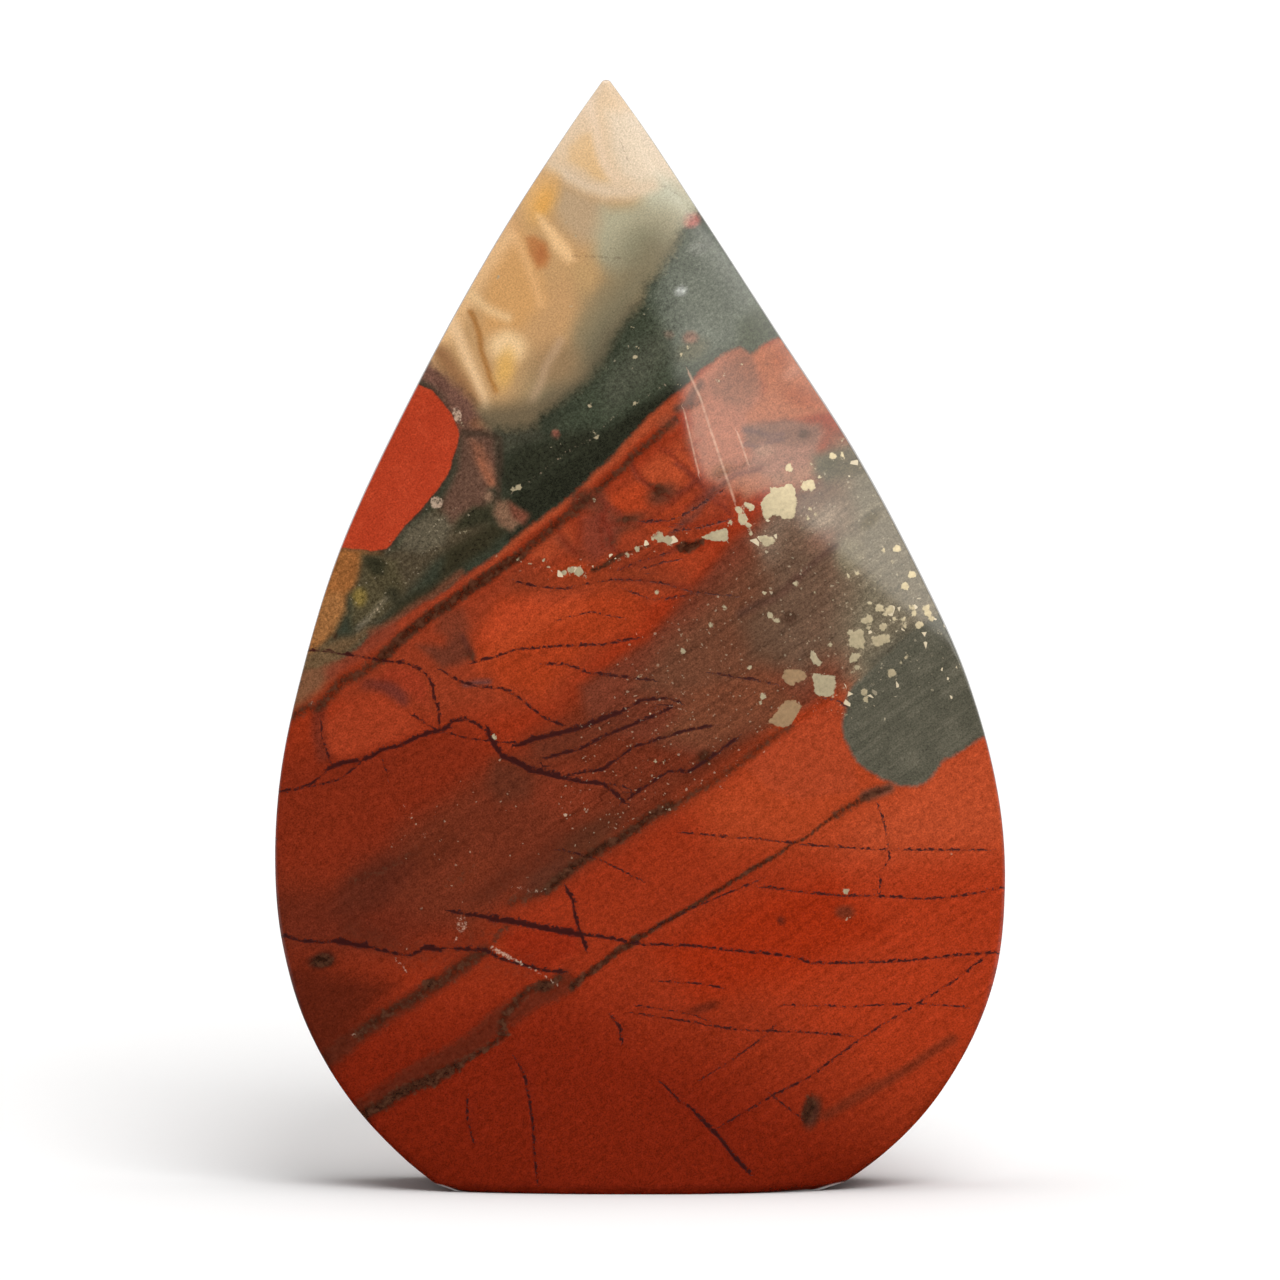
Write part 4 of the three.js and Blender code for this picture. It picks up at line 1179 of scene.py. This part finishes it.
class Sheet:
    """The nodes of one material or of the world."""

    def __init__(self, tree):
        self.tree = tree
        tree.nodes.clear()

    @staticmethod
    def find(sockets, key):
        """A socket by its number, its identifier or its name."""
        if isinstance(key, int):
            return sockets[key]
        return next(socket for socket in sockets if key in (socket.identifier, socket.name))

    def add(self, kind, settings=None, sockets=None, output=0):
        """Adds a node: first its settings, then the values or links of its sockets."""
        node = self.tree.nodes.new(kind)
        for name, value in (settings or {}).items():
            setattr(node, name, value)
        for key, value in (sockets or {}).items():
            socket = self.find(node.inputs, key)
            if isinstance(value, Wire):
                self.tree.links.new(value.socket, socket)
            else:
                socket.default_value = value
        outputs = [one for one in node.outputs if one.enabled]
        return Wire(self, self.find(node.outputs, output) if output else outputs[0]) if outputs else None

    def attribute(self, name, output="Vector"):
        """A value that is stored on the mesh."""
        return self.add("ShaderNodeAttribute", {"attribute_name": name}, output=output)

    def split(self, vector):
        """The three parts of a vector."""
        apart = self.add("ShaderNodeSeparateXYZ", sockets={"Vector": vector})
        return [Wire(self, socket) for socket in apart.socket.node.outputs]

    def stretched(self, vector, scale):
        """A vector with each part scaled by its own amount."""
        return self.add("ShaderNodeVectorMath", {"operation": "MULTIPLY"}, {0: vector, 1: scale})

    def scaled(self, colour, amount):
        """A colour made brighter or darker by an amount."""
        base = colour if isinstance(colour, Wire) else colour[:3]
        return self.add("ShaderNodeVectorMath", {"operation": "SCALE"}, {"Vector": base, "Scale": amount})

    def step(self, value, low, high):
        """0 below low, 1 above high and a soft step between them."""
        limits = {"Value": value, "From Min": low, "From Max": high}
        return self.add("ShaderNodeMapRange", {"interpolation_type": "SMOOTHSTEP"}, limits)

    def mix(self, share, below, above):
        """A colour over another one, by a share."""
        colours = {"Factor_Float": share, "A_Color": below, "B_Color": above}
        return self.add("ShaderNodeMix", {"data_type": "RGBA"}, colours, "Result_Color")

    def noise(self, vector, scale, detail=2.0, roughness=0.5):
        """Noise around zero, about -0.5 to 0.5."""
        sockets = {"Vector": vector, "Scale": scale, "Detail": detail, "Roughness": roughness}
        return self.add("ShaderNodeTexNoise", {"noise_dimensions": "3D"}, sockets, "Fac") - 0.5


class Wire:
    """A value in a sheet. Sums and products of wires and numbers add their Math nodes."""

    def __init__(self, sheet, socket):
        self.sheet = sheet
        self.socket = socket

    def math(self, operation, first, second=0.0):
        """The Math node for one operation."""
        return self.sheet.add("ShaderNodeMath", {"operation": operation}, {0: first, 1: second})

    def __add__(self, other):
        return self.math("ADD", self, other)

    def __sub__(self, other):
        return self.math("SUBTRACT", self, other)

    def __rsub__(self, other):
        return self.math("SUBTRACT", other, self)

    def __mul__(self, other):
        return self.math("MULTIPLY", self, other)

    def __truediv__(self, other):
        return self.math("DIVIDE", self, other)

    def __abs__(self):
        return self.math("ABSOLUTE", self)

    __radd__ = __add__
    __rmul__ = __mul__


def colour_of(tone):
    """A colour of 0 to 255 as a shader's colour."""
    return (*linear(tone), 1.0)


Noise = namedtuple("Noise", "fine grain ragged mottle cloud stripes fibres")


def stone_noise(sheet, beds):
    """The noises that grain the stone: five even ones and two drawn out along the beds."""
    kinds = (FINE_NOISE, GRAIN_NOISE, RAGGED_NOISE, MOTTLE_NOISE, CLOUD_NOISE)
    even = [sheet.noise(beds, *kind) for kind in kinds]
    stripes = sheet.noise(sheet.stretched(beds, STRIPE_STRETCH), *STRIPE_NOISE)
    fibres = sheet.noise(sheet.stretched(beds, FIBRE_STRETCH), *FIBRE_NOISE)
    return Noise(*even, stripes, fibres)


def zone_colours(sheet, noise, tones, dust, striped):
    """The colours of the red, the green, the chalcedony, the pebble and the blob, with their grain."""
    _fine, grain, ragged, mottle, cloud, stripes, fibres = noise
    red = sheet.attribute("red", "Color")
    red = sheet.scaled(red, 1 + stripes * (0.3 + 0.4 * striped + 0.8 * dust) + cloud * 0.25
                       + mottle * 1.0 + ragged * 0.4 + (fibres + grain) * (0.2 + dust * 0.4))
    green = sheet.attribute("green", "Color")
    green = sheet.scaled(green, 1 + mottle * 1.1 + cloud * 0.5 + ragged * 1.3 + grain * (0.8 + dust))
    chalcedony = sheet.attribute("chalcedony", "Color")
    chalcedony = sheet.scaled(chalcedony, 1 + mottle * 0.12 + cloud * 0.14)
    light = sheet.step(mottle + cloud, -0.1, 0.35)
    pebble = sheet.mix(light, colour_of(tones["pebble"]), colour_of(PEBBLE_LIGHT))
    pebble = sheet.scaled(pebble, 1 + ragged * 0.15)
    light = sheet.step(stripes + cloud, -0.25, 0.45)
    blob = sheet.mix(light, colour_of(tones["blob"]), colour_of(BLOB_LIGHT))
    blob = sheet.scaled(blob, 1 + mottle * 0.3 + fibres * 0.3 + grain * 0.3)
    return red, green, chalcedony, pebble, blob


def join_zones(sheet, noise, colours, insides):
    """The zones laid over each other with ragged edges, and how milky the stone is."""
    red, green, chalcedony, pebble, blob = colours
    chalcedony_in, green_in, pebble_in, blob_in = insides
    ragged, mottle = noise.ragged, noise.mottle
    ground = sheet.mix(sheet.step(green_in + ragged * 0.6 + mottle * 0.5, -0.35, 0.3), red, green)
    milky = sheet.step(chalcedony_in + ragged * 1.4 + mottle * 1.0, -1.0, 0.9)
    ground = sheet.mix(milky, ground, chalcedony)
    pebble_edge = pebble_in + ragged * 0.25
    ground = sheet.mix(sheet.step(abs(pebble_edge), 0.5, 0.05) * 0.3, ground, colour_of(PEBBLE_RIM))
    ground = sheet.mix(sheet.step(pebble_edge, -0.12, 0.12), ground, pebble)
    ground = sheet.mix(sheet.step(blob_in + ragged * 0.6 + mottle * 0.4, -0.3, 0.35), ground, blob)
    return sheet.scaled(ground, 1 + (noise.fine * 1.2 + noise.grain * 0.7) * (1 - milky * 0.35)), milky


def add_streaks(sheet, noise, ground, dark_streak, brown_streak):
    """Brown and dark granular streaks over the stone, and how strong the dark ones are."""
    _fine, grain, ragged, mottle, _cloud, _stripes, fibres = noise
    brown = sheet.step(brown_streak + mottle * 1.2 + ragged * 1.0 + fibres * 0.6, 0.1, 1.0)
    brown = brown * sheet.step(brown_streak, 0.0, 0.3)
    streak = sheet.scaled(colour_of(STREAK_BROWN), 1 + grain * 1.4 + mottle * 1.2)
    ground = sheet.mix(brown * 0.7, ground, streak)
    dark = sheet.step(dark_streak + ragged * 1.3 + mottle * 1.2 + grain * 1.0, 0.15, 0.95)
    dark = dark * sheet.step(dark_streak, 0.0, 0.25)
    patchy = sheet.step(mottle * 1.4 + ragged * 0.6, -0.2, 0.3)
    streak = sheet.mix(patchy, colour_of(STREAK_DARK), colour_of(STREAK_GREY))
    streak = sheet.scaled(streak, 1 + grain * 0.8)
    return sheet.mix(dark * 0.95, ground, streak), dark


def crack_lines(sheet, noise, crack_count, milky):
    """How strong the nearest crack is at each place. In the chalcedony the cracks are faint."""
    _fine, grain, ragged, mottle, *_rest = noise
    lines = None
    for index in range(crack_count):
        side, gap, width = sheet.split(sheet.attribute(f"cracks {index}"))
        off = abs(side + mottle * 0.5 + ragged * 0.6 + grain * 0.5)
        line = sheet.step(off / (width * (1.05 + mottle * 3.5 + grain * 2)), 1.1, 0.4)
        broken = sheet.step(width + mottle * 1.3 + ragged * 0.9, -0.02, 0.2)
        line = line * sheet.step(gap, *LINE_END) * broken
        lines = line if lines is None else lines.math("MAXIMUM", lines, line)
    return lines * (1 - milky * 0.7)


def add_painted_glints(sheet, noise, ground):
    """Thin pale lines of painted highlight over the stone, where the polish seems to mirror a bright light's
    edge.
    """
    side, gap, width = sheet.split(sheet.attribute("scratches"))
    glint = sheet.step(abs(side) / width, 1.3, 0.1) * sheet.step(gap, *LINE_END)
    return sheet.mix(glint * (0.42 + noise.mottle * 1.6), ground, colour_of(PAINTED_GLINT_PALE))


def add_flecks(sheet, noise, beds, ground, quartz_streak, dust, grains):
    """Quartz flecks, mineral dust and small crystals over the stone."""
    grain, ragged, mottle = noise.grain, noise.ragged, noise.mottle
    quartz = sheet.step(quartz_streak + grain * 1.2 + ragged * 0.9, 0.45, 0.85)
    ground = sheet.mix(quartz * 0.6, ground, sheet.scaled(colour_of(QUARTZ_PALE), 1 + grain * 1.5))
    pale = sheet.scaled(colour_of(DUST_PALE), 1 + mottle * 0.5)
    for size, low, spread, in_dust, in_grains, strength in SPECK_LAYERS:
        cells = {"Vector": beds, "Scale": size}
        speck = sheet.add("ShaderNodeTexVoronoi", {"feature": "F1"}, cells, "Color")
        edge = sheet.add("ShaderNodeTexVoronoi", {"feature": "DISTANCE_TO_EDGE"}, cells, "Distance")
        chance, shrink, _shade = sheet.split(speck)
        present = sheet.step(chance - (1 - (dust * in_dust + grains * in_grains)), 0.0, 0.02)
        dots = sheet.step(edge - (low + spread * shrink), -0.01, 0.05) * present
        ground = sheet.mix(dots * strength, ground, pale)
    return ground


def add_pyrite(sheet, noise, tones, ground, pale_in, tan_in):
    """Pyrite crystals and grains over the stone, and where the surface is metal."""
    grain, ragged = noise.grain, noise.ragged
    pitted = 1 + noise.mottle * 0.5 + ragged * 0.4 + grain * 0.6
    pale = sheet.step(pale_in + ragged * 0.25 + grain * 0.25, -0.02, 0.07)
    tan = sheet.step(tan_in + ragged * 0.2 + grain * 0.15, -0.03, 0.06)
    ground = sheet.mix(tan, ground, sheet.scaled(colour_of(PYRITE_TAN), pitted))
    ground = sheet.mix(pale, ground, sheet.scaled(colour_of(tones["pyrite"]), pitted))
    return ground, pale.math("MAXIMUM", pale, tan)


def bloodstone(tones, crack_count, roughness):
    """The polished stone: its zones, the grain in each, then streaks, cracks and pyrite over them."""
    material = bpy.data.materials.new("polished bloodstone")
    material.use_nodes = True
    sheet = Sheet(material.node_tree)
    beds = sheet.attribute("beds")
    zones = sheet.split(sheet.attribute("zones"))
    dark_streak, brown_streak, quartz_streak = sheet.split(sheet.attribute("streaks"))
    pale_in, tan_in, blob_in = sheet.split(sheet.attribute("inclusions"))
    dust, striped, grains = sheet.split(sheet.attribute("texture"))

    noise = stone_noise(sheet, beds)
    colours = zone_colours(sheet, noise, tones, dust, striped)
    ground, milky = join_zones(sheet, noise, colours, (*zones, blob_in))
    ground, dark = add_streaks(sheet, noise, ground, dark_streak, brown_streak)
    lines = crack_lines(sheet, noise, crack_count, milky)
    ground = sheet.mix(lines * 0.97, ground, colour_of(CRACK_DARK))
    # Thin lines of painted highlight over the stone
    ground = add_painted_glints(sheet, noise, ground)
    ground = add_flecks(sheet, noise, beds, ground, quartz_streak, dust, grains)
    ground, metal = add_pyrite(sheet, noise, tones, ground, pale_in, tan_in)

    hollow = lines * -0.6 + dark * -0.2 + metal * 0.15
    relief = {"Strength": CRACK_RELIEF, "Distance": CRACK_DEPTH, "Height": hollow}
    surface = {
        "Base Color": ground,
        "Roughness": roughness + noise.mottle * 0.06 + lines * 0.3 + metal * 0.12,
        "Metallic": metal * PYRITE_METALLIC,
        "Normal": sheet.add("ShaderNodeBump", None, relief),
        "IOR": QUARTZ_IOR,
    }
    shader = sheet.add("ShaderNodeBsdfPrincipled", None, surface)
    sheet.add("ShaderNodeOutputMaterial", None, {"Surface": shader})
    return material


def plain_paper(colour):
    """The matt pale floor."""
    material = bpy.data.materials.new("pale paper")
    material.use_nodes = True
    sheet = Sheet(material.node_tree)
    tooth = sheet.noise(sheet.add("ShaderNodeTexCoord", output="Object"), 900, 2.0)
    paper = sheet.scaled(colour, 1 + tooth * 0.01)
    shader = sheet.add("ShaderNodeBsdfPrincipled", None, {"Base Color": paper, "Roughness": 0.9,
                                                         "Specular IOR Level": 0.0})
    sheet.add("ShaderNodeOutputMaterial", None, {"Surface": shader})
    return material


# The stone and its stage

def build_stone(settings):
    """The whole stone: one mesh with its markings and its polish."""
    skin = Skin(settings.face_pitch / MM)
    points = skin.points.copy()
    inward = smooth(face_clearance(points[:, 0], points[:, 2]), *POLISH_WAVE_FADE)
    wave = wander(points + POLISH_WAVE_START, POLISH_WAVE_LENGTH, POLISH_SEED) * inward * POLISH_WAVE
    points[:, 1] += wave * np.sign(points[:, 1])
    mesh = bpy.data.meshes.new("bloodstone_freeform")
    mesh.from_pydata(points * MM, [], [face for _island, faces in skin.faces for face in faces.tolist()])
    mesh.update()
    mesh.shade_smooth()
    flat = mesh.uv_layers.new(name="OFBake")
    flat.data.foreach_set("uv", skin.layout().astype(np.float32).ravel())
    tones = {name: [255 * part for part in getattr(settings, name)] for name in TONES}
    crack_count = mark_skin(mesh, skin.points, tones)
    mesh.materials.append(bloodstone(tones, crack_count, settings.roughness))
    stone = bpy.data.objects.new("bloodstone_freeform", mesh)
    bpy.context.scene.collection.objects.link(stone)
    return stone


def aim(item, place, target):
    """Puts a camera or light at a place and turns it to a target, both in millimetres."""
    item.location = Vector(place) * MM
    item.rotation_euler = (Vector(target) - Vector(place)).to_track_quat("-Z", "Y").to_euler()


def add_light(name, kind, place, target, settings):
    """A light at a place that shines at a target."""
    light = bpy.data.lights.new(name, kind)
    for key, value in settings.items():
        setattr(light, key, value)
    lamp = bpy.data.objects.new(name, light)
    bpy.context.scene.collection.objects.link(lamp)
    aim(lamp, place, target)
    return lamp


def build_floor(colour):
    """A pale floor that rises gently behind the stone."""
    half = FLOOR_SIZE / 2 * MM
    corners = [(side * half, away * MM, rise * MM) for away, rise in FLOOR_PROFILE for side in (-1, 1)]
    strips = [(row, row + 1, row + 3, row + 2) for row in range(0, len(corners) - 2, 2)]
    mesh = bpy.data.meshes.new("floor")
    mesh.from_pydata(corners, [], strips)
    mesh.shade_smooth()
    mesh.materials.append(plain_paper((*colour, 1.0)))
    floor = bpy.data.objects.new("floor", mesh)
    bpy.context.scene.collection.objects.link(floor)
    floor.visible_glossy = False


def build_camera():
    """The camera, at the angle from which the stone was seen."""
    scene = bpy.context.scene
    lens = bpy.data.cameras.new("camera")
    lens.sensor_width = SENSOR_WIDTH
    lens.lens = FOCAL_PIXELS * SENSOR_WIDTH / IMAGE_SIZE
    lens.clip_start = 0.01
    camera = bpy.data.objects.new("camera", lens)
    scene.collection.objects.link(camera)
    aim(camera, camera_axes()[0], CAMERA_TARGET)
    scene.camera = camera


def build_room(light):
    """The pale room: an even light, and a ceiling and a wall that only the polish mirrors."""
    world = bpy.data.worlds.new("room")
    world.use_nodes = True
    room = Sheet(world.node_tree)
    glossy = room.add("ShaderNodeLightPath", output="Is Glossy Ray")
    seen = room.add("ShaderNodeLightPath", output="Is Camera Ray")
    _across, away, height = room.split(room.add("ShaderNodeTexCoord", output="Generated"))
    tilt = math.radians(ROOM_TILT)
    away, height = (away * math.cos(tilt) - height * math.sin(tilt),
                    height * math.cos(tilt) + away * math.sin(tilt))
    ceiling = room.step(height, *CEILING_EDGE) * CEILING_REFLECTION
    wall = room.step(away, *WALL_EDGE) * room.step(height, *WALL_FOOT) * WALL_REFLECTION
    strength = light * (1 - glossy - seen) + (ceiling + wall) * glossy + SKY_SEEN * seen
    sky = room.add("ShaderNodeBackground", None, {"Color": ROOM_TINT, "Strength": strength})
    room.add("ShaderNodeOutputWorld", None, {"Surface": sky})
    bpy.context.scene.world = world


def build_softbox(energy):
    """The softbox whose image is the pale veil on the face. Its glow fades upwards and to one side."""
    facing = Vector(SOFTBOX_PLACE) + Vector(SOFTBOX_FACING) / MM
    width, height = SOFTBOX_SIZE
    box = {"energy": energy, "color": SOFTBOX_TINT, "shape": "RECTANGLE",
           "size": width * MM, "size_y": height * MM}
    softbox = add_light("softbox", "AREA", SOFTBOX_PLACE, facing, box)
    softbox.rotation_euler.rotate(Euler((math.radians(SOFTBOX_TILT), 0, 0)))
    softbox.visible_diffuse = False
    softbox.data.use_nodes = True
    cloth = Sheet(softbox.data.node_tree)
    across, upward, _depth = cloth.split(cloth.add("ShaderNodeNewGeometry", output="Parametric"))
    rise = cloth.step(upward, *SOFTBOX_RISE)
    fade = 1 - rise * SOFTBOX_FADED
    side = cloth.step(across / (SOFTBOX_EDGE + rise * SOFTBOX_SIDE), 0.0, 1.0)
    glow = cloth.add("ShaderNodeEmission", None, {"Strength": fade * side})
    cloth.add("ShaderNodeOutputLight", None, {"Surface": glow})


def build_stage(settings):
    """The floor, the camera, the soft lights and the pale room round them."""
    bpy.context.scene.view_settings.view_transform = "Standard"
    build_floor(settings.floor)
    build_camera()
    build_room(settings.room_light)
    for name, place, energy, spread in (
        ("key light", KEY_LIGHT_PLACE, settings.key_light, KEY_LIGHT_SPREAD),
        ("top light", TOP_LIGHT_PLACE, settings.top_light, TOP_LIGHT_SPREAD),
    ):
        wide = {"energy": energy, "angle": math.radians(spread)}
        add_light(name, "SUN", place, CAMERA_TARGET, wide).visible_glossy = False
    build_softbox(settings.softbox_light)


# Settings, operators and panel

TONES = ("red", "green", "chalcedony", "pebble", "blob", "pyrite")


def tone(name, colour, description):
    """A colour setting whose default is given as 0 to 255 on screen."""
    default = [part / 255 for part in colour]
    return bpy.props.FloatVectorProperty(name=name, description=description, default=default,
                                         subtype="COLOR_GAMMA", size=3, min=0, max=1)


class StoneSettings(bpy.types.PropertyGroup):
    face_pitch: bpy.props.FloatProperty(
        name="Face pitch", description="Distance between the mesh points over the front face",
        default=0.36 * MM, min=0.3 * MM, max=3 * MM, precision=5, unit="LENGTH")
    roughness: bpy.props.FloatProperty(
        name="Polish", description="Roughness of the polished faces, lower is glossier",
        default=0.09, min=0.02, max=0.6, subtype="FACTOR")
    red: tone("Red jasper", RED_BASE, "Ground colour of the red lower part")
    green: tone("Dark green", GREEN_BASE, "Ground colour of the dark green zone")
    chalcedony: tone("Chalcedony", CHALCEDONY_BASE, "Ground colour of the pale tip")
    pebble: tone("Pebble", PEBBLE_BASE, "Colour of the red pebble at the left edge")
    blob: tone("Grey blob", BLOB_BASE, "Colour of the grey blob at the right edge")
    pyrite: tone("Pyrite", PYRITE_PALE, "Colour of the pale metallic crystals")


class StageSettings(bpy.types.PropertyGroup):
    floor: bpy.props.FloatVectorProperty(
        name="Floor", description="Colour of the pale floor", default=(0.95, 0.95, 0.95),
        subtype="COLOR", size=3, min=0, max=1)
    room_light: bpy.props.FloatProperty(
        name="Room light", description="Even light from all round", default=0.38, min=0, max=5)
    key_light: bpy.props.FloatProperty(
        name="Key light", description="Soft light from the front right, above", default=1.9, min=0, max=20)
    top_light: bpy.props.FloatProperty(
        name="Top light", description="Wide soft light from straight above", default=1.15, min=0, max=20)
    softbox_light: bpy.props.FloatProperty(
        name="Softbox", description="Power of the light that mirrors in the upper right of the face",
        default=4.8, min=0, max=100, unit="POWER")


class OBJECT_OT_bloodstone(bpy.types.Operator):
    """Builds the polished stone, which takes the place of the plain solid"""
    bl_idname = "object.bloodstone_build"
    bl_label = "Bloodstone"
    bl_options = {"REGISTER", "UNDO"}

    def execute(self, context):
        stone = build_stone(context.scene.bloodstone)
        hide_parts("stone")
        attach(stone, "root")
        return {"FINISHED"}


class OBJECT_OT_bloodstone_stage(bpy.types.Operator):
    """Builds the floor, the camera and the soft studio light"""
    bl_idname = "object.bloodstone_stage"
    bl_label = "Studio stage"
    bl_options = {"REGISTER", "UNDO"}

    def execute(self, context):
        build_stage(context.scene.bloodstone_stage)
        return {"FINISHED"}


class VIEW3D_PT_bloodstone(bpy.types.Panel):
    """Lists the steps of the build and their settings"""
    bl_idname = "VIEW3D_PT_bloodstone"
    bl_label = "Bloodstone freeform"
    bl_space_type = "VIEW_3D"
    bl_region_type = "UI"
    bl_category = "Stone"

    def draw(self, context):
        scene = context.scene
        for operator, settings in (
            (OBJECT_OT_bloodstone, scene.bloodstone),
            (OBJECT_OT_bloodstone_stage, scene.bloodstone_stage),
        ):
            box = self.layout.box()
            box.operator(operator.bl_idname)
            for name in settings.__annotations__:
                box.prop(settings, name)


CLASSES = (StoneSettings, StageSettings, OBJECT_OT_bloodstone, OBJECT_OT_bloodstone_stage,
           VIEW3D_PT_bloodstone)


def register():
    for kind in CLASSES:
        bpy.utils.register_class(kind)
    bpy.types.Scene.bloodstone = bpy.props.PointerProperty(type=StoneSettings)
    bpy.types.Scene.bloodstone_stage = bpy.props.PointerProperty(type=StageSettings)


def unregister():
    del bpy.types.Scene.bloodstone_stage
    del bpy.types.Scene.bloodstone
    for kind in reversed(CLASSES):
        bpy.utils.unregister_class(kind)


def main():
    register()
    bpy.ops.object.bloodstone_stage()
    bpy.ops.object.bloodstone_build()


if __name__ == "__main__":
    main()
